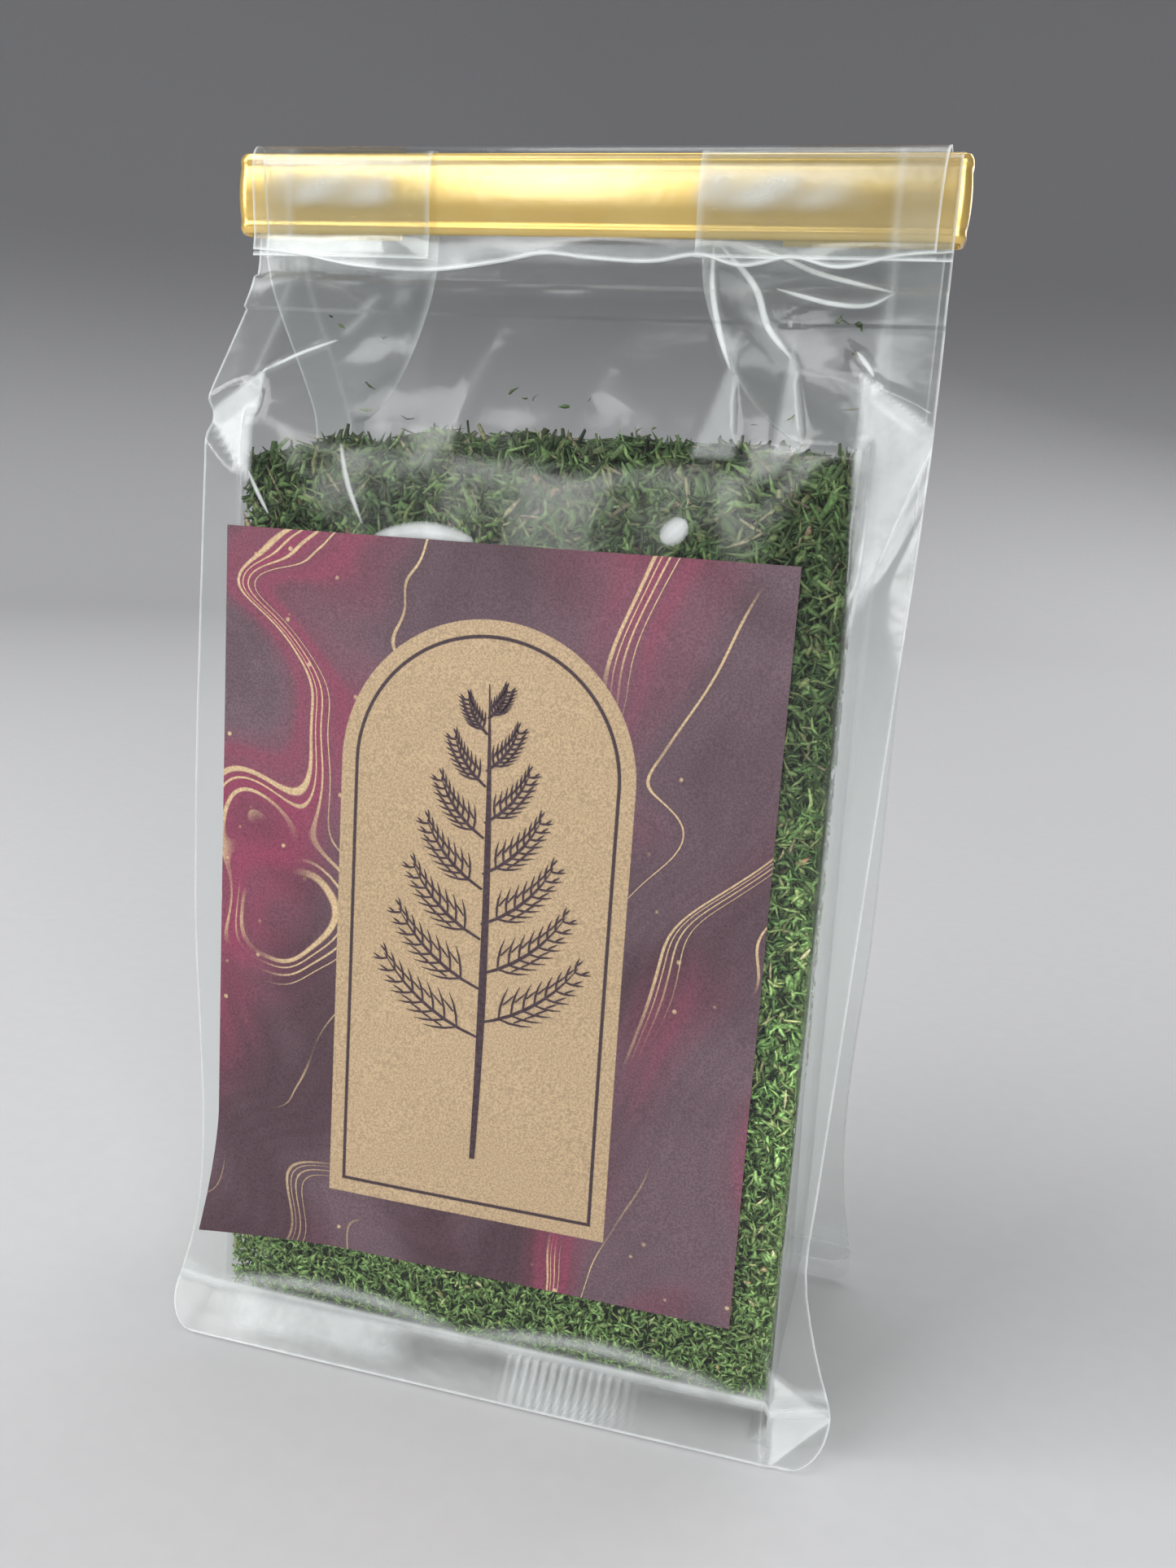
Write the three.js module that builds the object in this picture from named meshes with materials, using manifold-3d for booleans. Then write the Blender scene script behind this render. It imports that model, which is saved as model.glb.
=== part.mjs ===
// A clear quad-seal bag of dried dill tops, closed by a gold tin tie, with a paper label on its front.
// Millimetres, +Z up. The front faces -Y and the origin is the middle of the flat base.

import * as THREE from 'three';
import { mergeVertices } from 'three/addons/utils/BufferGeometryUtils.js';
import Module from 'manifold-3d';

// The film bag: its body, and the welded seals that stand out at its corners and its base
const BODY_WIDTH = 74;
const BASE_DEPTH = 40;
const FILM = 0.35;
const FIN_WIDTH = 5.5;
const FIN_FOOT = 4;
const PANEL_LEAN = THREE.MathUtils.degToRad(2);
const PANEL_BULGE = 1;
const SHOULDER_HEIGHT = 122;
const BASE_ROUNDING = 2.2;
const BASE_ROUNDING_HEIGHT = 2.6;
const SKIRT_HEIGHT = 6;
const SKIRT_SPREAD = 4;
const SKIRT_HALF_LENGTH = 44;
const SKIRT_CORNER = 4.5;
const FLOOR_GAP = 0.15;

// The neck: four layers of film pressed flat, which go up behind the tie, over it and down its front
const LAYER_GAP = 0.2;
const NECK_HEIGHT = 138.5;
const GUSSET_DEPTH = 20;
const GUSSET_DEPTH_AT_SHOULDER = 9;
const HEM_HEIGHT = 139.3;

// The tin tie: a flat strip with a wire in a tube along each edge, its ends bent round behind the neck
const TIE_LENGTH = 140;
const TIE_FRONT_LENGTH = 89.4;
const TIE_WIDTH = 9.5;
const TIE_BOTTOM = 143.3;
const TIE_WEB = 0.6;
const TIE_Y = -2;
const WIRE_DIAMETER = 0.7;
const TUBE_WALL = 0.3;

// The paper label
const LABEL_WIDTH = 70;
const LABEL_HEIGHT = 92.3;
const LABEL_THICKNESS = 0.4;
const LABEL_X = -3.4;
const LABEL_Z = 61.3;

// The dill: a core, and loose threads that lie against each other all over it
const FILL_TOP = 120.5;
const CORE_INSET = 2.4;
const CORE_RELIEF = 0.5;
const THREAD_RADIUS = 0.8;
const THREAD_LENGTH = [5.5, 9];
const THREAD_RISE = [0.1, 0.24];
const THREAD_SINK = 0.9;
const WALL_THREADS = 440;
const TOP_THREADS = 60;
const SEED = 4;

// Facets, and the shares of a height, a radius or a path at which rings and stops stand
const PANEL_STEPS = 8;
const BODY_STEPS = 6;
const CORE_STEPS = 12;
const FOLD_STEPS = 6;
const TIE_STEPS = 20;
const TUBE_SEGMENTS = 7;
const WIRE_SEGMENTS = 6;
const SKIRT_SEGMENTS = 4;
const SHOULDER_STOPS = [0.4, 0.75, 1];
const BASE_STOPS = [0, 0.35, 1];
const CORE_TOP_STOPS = [0.93, 0.6, 0.25];
const BEND_STOPS = [0.2, 0.8];
const MITRE_LIMIT = 1.4;

// Worked out from the dimensions above
const CLEARANCE = 0.3;
const BODY_HALF = BODY_WIDTH / 2;
const NECK_HALF_DEPTH = 2 * FILM + 1.5 * LAYER_GAP;
const TUBE_RADIUS = WIRE_DIAMETER / 2 + CLEARANCE + TUBE_WALL;
const FOLD_RADIUS = TUBE_RADIUS + CLEARANCE + NECK_HALF_DEPTH;
const NECK_Y = TIE_Y + FOLD_RADIUS;
const FOLD_HEIGHT = TIE_BOTTOM + TIE_WIDTH - TUBE_RADIUS;
const WIRE_OFFSET = TIE_WIDTH / 2 - TUBE_RADIUS;
const FIN_THICKNESS = 0.9 * FILM;
const CORE_TOP = FILL_TOP - CORE_INSET;
const CORE_WALL_TOP = CORE_TOP - CORE_INSET;

const { MathUtils, Vector2, Vector3 } = THREE;
const wasm = await Module();
wasm.setup();

// Small helpers

function seededRandom(seed) {
  let state = seed;
  return () => {
    state = (state + 0x6d2b79f5) | 0;
    let bits = Math.imul(state ^ (state >>> 15), 1 | state);
    bits = (bits + Math.imul(bits ^ (bits >>> 7), 61 | bits)) ^ bits;
    return ((bits ^ (bits >>> 14)) >>> 0) / 4294967296;
  };
}

function solidOf(geometry) {
  const bare = geometry.clone();
  bare.deleteAttribute('normal');
  bare.deleteAttribute('uv');
  const merged = mergeVertices(bare, 1e-5);
  return new wasm.Manifold(new wasm.Mesh({
    numProp: 3,
    vertProperties: new Float32Array(merged.attributes.position.array),
    triVerts: new Uint32Array(merged.index.array),
  }));
}

function geometryOf(solid) {
  const mesh = solid.getMesh();
  const geometry = new THREE.BufferGeometry();
  geometry.setAttribute('position', new THREE.BufferAttribute(mesh.vertProperties, 3));
  geometry.setIndex(new THREE.BufferAttribute(mesh.triVerts, 1));
  geometry.computeVertexNormals();
  return geometry;
}

// The largest body of a fused solid, without scraps and sealed hollows
function wholeBody(solid) {
  return solid.decompose().sort((a, b) => b.volume() - a.volume())[0];
}

// A closed skin through rings of equal length, each counterclockwise round the direction of the rings
function loft(rings) {
  const count = rings[0].length;
  const points = rings.flat();
  const faces = [];
  for (let k = 0; k + 1 < rings.length; k += 1) {
    for (let i = 0; i < count; i += 1) {
      const a = k * count + i;
      const b = k * count + ((i + 1) % count);
      faces.push(a, b, b + count, a, b + count, a + count);
    }
  }
  const last = (rings.length - 1) * count;
  for (const [a, b, c] of capFaces(rings[0])) {
    faces.push(a, c, b);
  }
  for (const [a, b, c] of capFaces(rings.at(-1))) {
    faces.push(last + a, last + b, last + c);
  }
  const geometry = new THREE.BufferGeometry().setFromPoints(points);
  geometry.setIndex(faces);
  geometry.computeVertexNormals();
  return geometry;
}

// Triangles that fill a ring, in the ring's own direction
function capFaces(ring) {
  const outline = ring.map((point) => new Vector2(point.x, point.y));
  const faces = THREE.ShapeUtils.triangulateShape(outline, []);
  return THREE.ShapeUtils.isClockWise(outline) ? faces.map((face) => face.reverse()) : faces;
}

// The bag's sections

function halfDepthAt(z) {
  const body = BASE_DEPTH / 2 - Math.min(z, SHOULDER_HEIGHT) * Math.tan(PANEL_LEAN);
  return MathUtils.lerp(body, NECK_HALF_DEPTH, closingAt(z));
}

// 0 up to the shoulder, 1 from the flat neck on
function closingAt(z) {
  return MathUtils.clamp((z - SHOULDER_HEIGHT) / (NECK_HEIGHT - SHOULDER_HEIGHT), 0, 1);
}

// The front and back panels swell between the base and the shoulder, most in the middle
function bulgeAt(x, z) {
  const up = MathUtils.clamp(z / SHOULDER_HEIGHT, 0, 1);
  const across = 1 - Math.min(Math.abs(x) / BODY_HALF, 1) ** 2;
  return PANEL_BULGE * Math.sin(Math.PI * up) * across;
}

function frontPanelY(x, z) {
  return -halfDepthAt(z) - bulgeAt(x, z);
}

// Where the bag's section stands at a height, its middle and how far its gussets fold in
function stationAt(z) {
  const closing = closingAt(z);
  const inBody = GUSSET_DEPTH_AT_SHOULDER * (Math.min(z, SHOULDER_HEIGHT) / SHOULDER_HEIGHT) ** 1.5;
  return {
    y: NECK_Y * closing,
    z,
    turn: 0,
    closing,
    halfDepth: halfDepthAt(z),
    gusset: MathUtils.lerp(inBody, GUSSET_DEPTH, Math.sqrt(closing)),
  };
}

// The film's outline at a station, across the front, along the right gusset, and the same turned half round
function sectionRing({ z, closing, halfDepth, gusset }) {
  const front = [];
  for (let i = 0; i <= PANEL_STEPS; i += 1) {
    const x = BODY_HALF * ((2 * i) / PANEL_STEPS - 1);
    front.push(new Vector2(x, -halfDepth - bulgeAt(x, z)));
  }
  const open = new Vector2(BODY_HALF - gusset / 2, -halfDepth / 2);
  const pressed = new Vector2(BODY_HALF, -LAYER_GAP / 2);
  const flank = open.lerp(pressed, closing);
  front.push(flank, new Vector2(BODY_HALF - gusset, 0), new Vector2(flank.x, -flank.y));
  return [...front, ...front.map((point) => point.clone().negate())];
}

function inwardNormal(from, to) {
  return new Vector2(from.y - to.y, to.x - from.x).normalize();
}

function insetRing(ring, distance) {
  return ring.map((point, i) => {
    const before = inwardNormal(ring.at(i - 1), point);
    const after = inwardNormal(point, ring[(i + 1) % ring.length]);
    const middle = before.add(after);
    const mitre = Math.min(2 / middle.length(), MITRE_LIMIT);
    return middle.setLength(mitre * distance).add(point);
  });
}

function placeRing(ring, { y, z, turn }) {
  const across = Math.cos(turn);
  const rise = Math.sin(turn);
  return ring.map((point) => new Vector3(point.x, y + point.y * across, z + point.y * rise));
}

// Stations from the top of the rounded base to the shoulder
function bodyStations() {
  return Array.from({ length: BODY_STEPS + 1 }, (_, i) => stationAt(
    MathUtils.lerp(SKIRT_HEIGHT, SHOULDER_HEIGHT, i / BODY_STEPS),
  ));
}

// The same, and on to the hem, over the tie
function filmStations() {
  const stations = bodyStations();
  for (const share of SHOULDER_STOPS) {
    stations.push(stationAt(MathUtils.lerp(SHOULDER_HEIGHT, NECK_HEIGHT, share)));
  }
  const neck = stations.at(-1);
  for (let i = 0; i <= FOLD_STEPS; i += 1) {
    const turn = (Math.PI * i) / FOLD_STEPS;
    const y = TIE_Y + FOLD_RADIUS * Math.cos(turn);
    stations.push({ ...neck, turn, y, z: FOLD_HEIGHT + FOLD_RADIUS * Math.sin(turn) });
  }
  stations.push({ ...stations.at(-1), z: HEM_HEIGHT });
  return stations;
}

// The rounded edge of the base, from the flat up: a height and how far in the section is there
function baseRoundings() {
  return BASE_STOPS.map((share) => ({
    height: BASE_ROUNDING_HEIGHT * share,
    inset: BASE_ROUNDING * (1 - share) ** 2,
  }));
}

// The bag's skin, set in by a distance: rings from the base up
function skinRings(stations, distance) {
  const base = sectionRing(stationAt(0));
  const foot = baseRoundings().map(({ height, inset }) => placeRing(
    insetRing(base, inset + distance),
    { y: 0, z: Math.max(height, distance), turn: 0 },
  ));
  const wall = stations.map((station) => placeRing(insetRing(sectionRing(station), distance), station));
  return [...foot, ...wall];
}

// The bag film

function filmShell() {
  const stations = filmStations();
  const outside = skinRings(stations, 0);
  const inside = skinRings(stations, FILM);
  return loft([...outside, ...inside.reverse()]);
}

// A welded corner seal, in the plane of the front or back panel
function cornerFin(side, face) {
  const inner = side * (BODY_HALF - FIN_WIDTH / 4);
  const outer = side * (BODY_HALF + FIN_WIDTH);
  const left = Math.min(inner, outer);
  const right = Math.max(inner, outer);
  const stations = [stationAt(FIN_FOOT), ...filmStations()];
  return loft(stations.map((station) => {
    const middle = face * (station.halfDepth - FILM / 2);
    const low = middle - FIN_THICKNESS / 2;
    const high = middle + FIN_THICKNESS / 2;
    return placeRing([
      new Vector2(left, low),
      new Vector2(right, low),
      new Vector2(right, high),
      new Vector2(left, high),
    ], station);
  }));
}

// The base seal below the front panel: a skirt that slopes out to the table, with rounded lower corners
function baseSkirt() {
  const top = new Vector2(FILM / 2 - halfDepthAt(SKIRT_HEIGHT), SKIRT_HEIGHT);
  const foot = new Vector2(-BASE_DEPTH / 2 - SKIRT_SPREAD, FLOOR_GAP + FILM / 2);
  const slope = top.clone().sub(foot);
  const drop = slope.length();
  const shape = new THREE.Shape();
  shape.moveTo(-SKIRT_HALF_LENGTH, 0);
  shape.lineTo(-SKIRT_HALF_LENGTH, SKIRT_CORNER - drop);
  shape.absarc(SKIRT_CORNER - SKIRT_HALF_LENGTH, SKIRT_CORNER - drop, SKIRT_CORNER, Math.PI, 1.5 * Math.PI);
  shape.absarc(SKIRT_HALF_LENGTH - SKIRT_CORNER, SKIRT_CORNER - drop, SKIRT_CORNER, 1.5 * Math.PI, 0);
  shape.lineTo(SKIRT_HALF_LENGTH, 0);
  const plate = new THREE.ExtrudeGeometry(shape, {
    depth: FILM,
    bevelEnabled: false,
    curveSegments: SKIRT_SEGMENTS,
  });
  plate.translate(0, 0, -FILM / 2);
  plate.rotateX(slope.angle());
  return plate.translate(0, top.x, top.y);
}

function bagFilm() {
  const fins = [1, -1].flatMap((side) => [cornerFin(side, -1), cornerFin(side, 1)]);
  const skirts = [baseSkirt(), baseSkirt().rotateZ(Math.PI)];
  const pieces = [filmShell(), ...fins, ...skirts].map(solidOf);
  return geometryOf(wholeBody(wasm.Manifold.union(pieces)));
}

// The dill

// Gentle lumps on the core, 0 to 1
function coreLump(x, y, z) {
  const wave = Math.sin(0.9 * x + 0.7 * z) * Math.sin(0.8 * y - 0.6 * z + 0.5 * x);
  return 0.5 + 0.5 * wave;
}

function coreWallRing(z) {
  const ring = insetRing(sectionRing(stationAt(z)), FILM + CORE_INSET);
  return placeRing(ring, stationAt(z));
}

function dillCore() {
  const rings = [];
  for (let i = 0; i <= CORE_STEPS; i += 1) {
    const ring = coreWallRing(MathUtils.lerp(CORE_INSET, CORE_WALL_TOP, i / CORE_STEPS));
    const shrink = i === 0 ? 1 - CORE_INSET / BODY_HALF : 1;
    rings.push(ring.map((point) => {
      const lump = CORE_RELIEF * coreLump(point.x, point.y, point.z);
      const across = Math.hypot(point.x, point.y);
      const pull = shrink * (1 - lump / across);
      return new Vector3(point.x * pull, point.y * pull, point.z);
    }));
  }
  for (const share of CORE_TOP_STOPS) {
    rings.push(rings[CORE_STEPS].map((point) => {
      const x = point.x * share;
      const y = point.y * share;
      return new Vector3(x, y, CORE_TOP - CORE_RELIEF * coreLump(x, y, 0));
    }));
  }
  return loft(rings);
}

// One thread: a three-sided needle with its root at a point, pointing along a direction
function dillThread(root, direction, length) {
  const needle = new THREE.ConeGeometry(THREAD_RADIUS, length, 3);
  needle.translate(0, length / 2, 0);
  needle.applyQuaternion(new THREE.Quaternion().setFromUnitVectors(new Vector3(0, 1, 0), direction));
  return needle.translate(root.x, root.y, root.z);
}

// A thread that lies along a surface at a point, its tip standing a little off it
function lyingThread(point, along, normal, random) {
  const angle = 2 * Math.PI * random();
  const across = new Vector3().crossVectors(normal, along);
  const rise = MathUtils.lerp(...THREAD_RISE, random());
  const direction = along.clone().multiplyScalar(Math.cos(angle));
  direction.addScaledVector(across, Math.sin(angle));
  direction.addScaledVector(normal, rise).normalize();
  const root = point.clone().addScaledVector(normal, -THREAD_SINK);
  return dillThread(root, direction, MathUtils.lerp(...THREAD_LENGTH, random()));
}

function wallThread(random) {
  const ring = coreWallRing(MathUtils.lerp(CORE_INSET, CORE_WALL_TOP, random()));
  const lengths = ring.map((point, i) => point.distanceTo(ring[(i + 1) % ring.length]));
  let distance = random() * lengths.reduce((sum, length) => sum + length);
  const edge = lengths.findIndex((length) => {
    distance -= length;
    return distance <= 0;
  });
  const from = ring[edge];
  const along = ring[(edge + 1) % ring.length].clone().sub(from).normalize();
  const point = from.clone().addScaledVector(along, lengths[edge] + distance);
  const normal = new Vector3(along.y, -along.x, 0);
  return lyingThread(point, along, normal, random);
}

function topThread(random) {
  const rim = coreWallRing(CORE_WALL_TOP);
  const corner = rim[Math.floor(random() * rim.length)];
  const reach = Math.sqrt(random()) * CORE_TOP_STOPS[0];
  const point = new Vector3(corner.x * reach, corner.y * reach, CORE_TOP - CORE_RELIEF / 2);
  return lyingThread(point, new Vector3(1, 0, 0), new Vector3(0, 0, 1), random);
}

// The room inside the film, which no thread leaves
function fillRoom() {
  return loft(skinRings(bodyStations(), FILM + CLEARANCE));
}

function dillFill() {
  const random = seededRandom(SEED);
  const threads = [
    ...Array.from({ length: WALL_THREADS }, () => wallThread(random)),
    ...Array.from({ length: TOP_THREADS }, () => topThread(random)),
  ];
  const fused = wasm.Manifold.union([dillCore(), ...threads].map(solidOf));
  return geometryOf(wholeBody(fused.intersect(solidOf(fillRoom()))));
}

// The label, which follows the front panel

function paperLabel() {
  const sheet = new THREE.BoxGeometry(LABEL_WIDTH, LABEL_THICKNESS, LABEL_HEIGHT, PANEL_STEPS, 1, BODY_STEPS);
  sheet.translate(LABEL_X, -CLEARANCE - LABEL_THICKNESS / 2, LABEL_Z);
  const place = sheet.attributes.position;
  for (let i = 0; i < place.count; i += 1) {
    place.setY(i, place.getY(i) + frontPanelY(place.getX(i), place.getZ(i)));
  }
  sheet.computeVertexNormals();
  return sheet;
}

// The tin tie

// The middle of the strip: along the front of the neck, with both ends turned round to its back
class TiePath extends THREE.Curve {
  constructor() {
    super();
    const back = NECK_Y + NECK_HALF_DEPTH + CLEARANCE + TUBE_RADIUS;
    this.radius = (back - TIE_Y) / 2;
    this.bendX = TIE_FRONT_LENGTH / 2 - TIE_WEB / 2 - this.radius;
    this.tail = TIE_LENGTH / 2 - this.bendX - Math.PI * this.radius;
  }

  // Half of the path, from the middle of the front to an end: 0 to 1, with most of the stops in the bend
  halfPoint(t) {
    const [start, end] = BEND_STOPS;
    const front = Math.min(t / start, 1);
    const turn = Math.PI * MathUtils.clamp((t - start) / (end - start), 0, 1);
    const back = Math.max((t - end) / (1 - end), 0);
    const x = this.bendX * front + this.radius * Math.sin(turn) - this.tail * back;
    return new Vector2(x, TIE_Y + this.radius * (1 - Math.cos(turn)));
  }

  getPoint(t, target = new Vector3()) {
    const point = this.halfPoint(Math.abs(2 * t - 1));
    return target.set(t < 0.5 ? -point.x : point.x, point.y, TIE_BOTTOM + TIE_WIDTH / 2);
  }

  // Stops are even in t, not in length
  getUtoTmapping(u) {
    return u;
  }
}

function alongTie(shape, curveSegments) {
  return new THREE.ExtrudeGeometry(shape, { steps: TIE_STEPS, extrudePath: new TiePath(), curveSegments });
}

// The strip's section: a web with a tube along each edge
function tieStrip() {
  const joint = Math.asin(TIE_WEB / 2 / TUBE_RADIUS);
  const shape = new THREE.Shape();
  shape.absarc(WIRE_OFFSET, 0, TUBE_RADIUS, joint - Math.PI, Math.PI - joint);
  shape.absarc(-WIRE_OFFSET, 0, TUBE_RADIUS, joint, 2 * Math.PI - joint);
  shape.closePath();
  for (const side of [-1, 1]) {
    const bore = new THREE.Path();
    bore.absarc(side * WIRE_OFFSET, 0, TUBE_RADIUS - TUBE_WALL, 0, 2 * Math.PI);
    shape.holes.push(bore);
  }
  return alongTie(shape, TUBE_SEGMENTS);
}

function tieWire(side) {
  const shape = new THREE.Shape();
  shape.absarc(side * WIRE_OFFSET, 0, WIRE_DIAMETER / 2, 0, 2 * Math.PI);
  return alongTie(shape, WIRE_SEGMENTS);
}

// The assembly

const finishes = {
  film: { color: 0xe6ece9, roughness: 0.08, metalness: 0, transparent: true, opacity: 0.25 },
  dill: { color: 0x56702f, roughness: 0.9, metalness: 0 },
  paper: { color: 0x6a4658, roughness: 0.75, metalness: 0 },
  gold: { color: 0xd9ab45, roughness: 0.3, metalness: 0.7 },
  steel: { color: 0x8d8f92, roughness: 0.4, metalness: 1 },
};

const bag = new THREE.Group();

function addPiece(name, geometry, finish) {
  const mesh = new THREE.Mesh(geometry, new THREE.MeshStandardMaterial(finishes[finish]));
  mesh.name = name;
  bag.add(mesh);
}

addPiece('bag_film', bagFilm(), 'film');
addPiece('dill_fill', dillFill(), 'dill');
addPiece('label', paperLabel(), 'paper');
addPiece('tie_strip', tieStrip(), 'gold');
addPiece('tie_wire_upper', tieWire(-1), 'steel');
addPiece('tie_wire_lower', tieWire(1), 'steel');

export default bag;
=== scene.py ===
"""A clear bag of dried dill tops with a paper label and a gold tin tie, dressed round its CAD frame."""

import logging
import math
from dataclasses import dataclass, field
from enum import Enum
from typing import Callable

import bpy
import numpy as np
from mathutils import Matrix, Vector


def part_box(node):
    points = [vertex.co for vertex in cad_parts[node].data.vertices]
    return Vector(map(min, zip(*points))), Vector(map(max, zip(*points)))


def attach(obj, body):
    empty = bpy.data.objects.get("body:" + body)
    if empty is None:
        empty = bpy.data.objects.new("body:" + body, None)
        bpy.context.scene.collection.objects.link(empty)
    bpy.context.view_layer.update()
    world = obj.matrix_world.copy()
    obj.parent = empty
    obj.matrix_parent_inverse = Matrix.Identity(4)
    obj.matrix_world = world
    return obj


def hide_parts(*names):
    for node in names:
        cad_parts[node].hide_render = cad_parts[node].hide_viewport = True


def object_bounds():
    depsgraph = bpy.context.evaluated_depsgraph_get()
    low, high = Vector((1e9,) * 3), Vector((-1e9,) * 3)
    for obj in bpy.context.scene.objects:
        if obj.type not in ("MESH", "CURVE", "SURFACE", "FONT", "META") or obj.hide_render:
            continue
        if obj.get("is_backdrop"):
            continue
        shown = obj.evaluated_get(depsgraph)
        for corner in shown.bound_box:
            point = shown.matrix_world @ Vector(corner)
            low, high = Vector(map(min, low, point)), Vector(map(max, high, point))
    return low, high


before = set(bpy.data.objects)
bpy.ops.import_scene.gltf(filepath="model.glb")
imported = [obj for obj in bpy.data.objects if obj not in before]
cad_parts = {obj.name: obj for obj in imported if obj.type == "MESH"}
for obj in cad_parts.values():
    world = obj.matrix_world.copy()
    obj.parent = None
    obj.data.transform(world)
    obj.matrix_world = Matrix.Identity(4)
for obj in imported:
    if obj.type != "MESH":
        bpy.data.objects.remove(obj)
CAD_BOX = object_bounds()

MM = 0.001
BODY = "root"
LOG = logging.getLogger("dill_bag")

Array = np.ndarray
Box = tuple[Array, Array]
Chance = np.random.Generator
Colour = tuple[float, float, float]
Faces = list[tuple[int, ...]]
Knots = tuple[tuple[float, float], ...]
Material = bpy.types.Material
Piece = bpy.types.Object
Socket = bpy.types.NodeSocket


class Face(Enum):
    """The two wide panels of the bag, by the sign of their depth."""

    FRONT = -1
    BACK = 1


class Side(Enum):
    """The two narrow sides of the bag, by the sign of their place across it."""

    LEFT = -1
    RIGHT = 1


class Tint(Enum):
    """Colours of the dill's bits."""

    DEEP = (0.034, 0.082, 0.022)
    LEAF = (0.125, 0.245, 0.072)
    FRESH = (0.285, 0.450, 0.165)
    OLIVE = (0.300, 0.350, 0.145)
    STRAW = (0.580, 0.520, 0.320)
    RUST = (0.420, 0.230, 0.140)


# Small numeric helpers


def ramp(value: Array, start: float, end: float) -> Array:
    """Goes from 0 at start to 1 at end in a straight line."""
    return np.clip((value - start) / (end - start), 0.0, 1.0)


def ease(value: Array, start: float, end: float) -> Array:
    """Goes from 0 at start to 1 at end with soft ends."""
    share = ramp(value, start, end)
    return share * share * (3.0 - 2.0 * share)


def window(value: Array, start: float, full: float, fade: float, end: float) -> Array:
    """1 between full and fade, 0 before start and after end, with soft flanks."""
    return ease(value, start, full) * ease(-value, -end, -fade)


def bell(value: Array, middle: float | Array, width: float) -> Array:
    """1 at the middle, falling off softly within about a width."""
    return np.exp(-(((value - middle) / width) ** 2))


def mix(low: Array, high: Array, share: Array) -> Array:
    """Blends two values by a share."""
    return low + (high - low) * share


def stack(*columns: Array) -> Array:
    """Puts columns of coordinates together, one point a row."""
    return np.stack(columns, axis=1)


def through(knots: Knots, value: Array) -> Array:
    """A smooth curve through a few given knots.

    Args:
        knots: Pairs of place and height, in rising order of place.
        value: Places to read the curve at.

    Returns:
        The curve's heights there.
    """
    place, height = (np.array(column, float) for column in zip(*knots))
    slope = np.gradient(height, place)
    index = np.clip(np.searchsorted(place, value) - 1, 0, len(place) - 2)
    step = place[index + 1] - place[index]
    share = np.clip((value - place[index]) / step, 0.0, 1.0)
    square, cube = share**2, share**3
    return (
        (2 * cube - 3 * square + 1) * height[index]
        + (cube - 2 * square + share) * step * slope[index]
        + (3 * square - 2 * cube) * height[index + 1]
        + (cube - square) * step * slope[index + 1]
    )


def unit(vectors: Array) -> Array:
    """Scales each row to length 1."""
    return vectors / np.linalg.norm(vectors, axis=-1, keepdims=True)


def run_of(line: Array) -> Array:
    """How far along a line each of its points is."""
    return np.concatenate([[0.0], np.cumsum(np.linalg.norm(np.diff(line, axis=0), axis=1))])


def node_box(node: str) -> Box:
    """Lowest and highest corner of a CAD node, in millimetres."""
    low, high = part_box(node)
    return np.array(low) / MM, np.array(high) / MM


# Mesh helpers


def read_points(mesh: bpy.types.Mesh) -> Array:
    """The places of a mesh's vertices.

    Args:
        mesh: The mesh.

    Returns:
        Points, one a row.
    """
    flat = np.empty(len(mesh.vertices) * 3)
    mesh.vertices.foreach_get("co", flat)
    return flat.reshape(-1, 3)


def add_sheet(name: str, columns: int, rows: int, shape: Callable[[Array, Array], Array]) -> Piece:
    """Adds a grid and lays it out along a surface.

    Args:
        name: The piece's name.
        columns: Faces across.
        rows: Faces along.
        shape: Takes the shares across and along, 0 to 1, and gives points in millimetres.

    Returns:
        The new piece, at the origin.
    """
    bpy.ops.mesh.primitive_grid_add(x_subdivisions=columns, y_subdivisions=rows, size=1.0)
    piece = bpy.context.active_object
    piece.name = name
    grid = read_points(piece.data) + 0.5
    points = shape(grid[:, 0], grid[:, 1]) * MM
    piece.data.vertices.foreach_set("co", points.astype(np.float32).ravel())
    piece.data.update()
    return piece


def add_mesh(name: str, points: Array, faces: Faces, flat: bool = True) -> Piece:
    """Adds a piece from its points and faces.

    Args:
        name: The piece's name.
        points: Its points, in millimetres.
        faces: Its faces.
        flat: Whether its faces are shaded flat.

    Returns:
        The new piece.
    """
    mesh = bpy.data.meshes.new(name)
    mesh.from_pydata((points * MM).tolist(), [], faces, shade_flat=flat)
    piece = bpy.data.objects.new(name, mesh)
    bpy.context.scene.collection.objects.link(piece)
    return piece


def ladder(rows: int, width: int) -> Faces:
    """The faces between rows of points, each as many points wide."""
    starts = [row * width + k for row in range(rows - 1) for k in range(width - 1)]
    return [(start, start + 1, start + width + 1, start + width) for start in starts]


def add_ribbons(name: str, ribbons: list[Array], width: int) -> Piece:
    """Adds one piece from ribbons of points.

    Args:
        name: The piece's name.
        ribbons: The points of each ribbon, row after row.
        width: Points in a row.

    Returns:
        The new piece.
    """
    faces, start = [], 0
    for ribbon in ribbons:
        faces += [tuple(start + corner for corner in face) for face in ladder(len(ribbon) // width, width)]
        start += len(ribbon)
    return add_mesh(name, np.concatenate(ribbons), faces)


def pick(piece: Piece) -> None:
    """Makes a piece the active and only selected one.

    Args:
        piece: The piece.
    """
    bpy.ops.object.select_all(action="DESELECT")
    bpy.context.view_layer.objects.active = piece
    piece.select_set(True)


def thicken(piece: Piece, thickness: float) -> None:
    """Gives a sheet a thickness in millimetres, half of it on each side.

    Args:
        piece: The piece.
        thickness: How thick it gets.
    """
    pick(piece)
    modifier = piece.modifiers.new("thickness", "SOLIDIFY")
    modifier.thickness, modifier.offset = thickness * MM, 0.0
    bpy.ops.object.modifier_apply(modifier=modifier.name)


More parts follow.
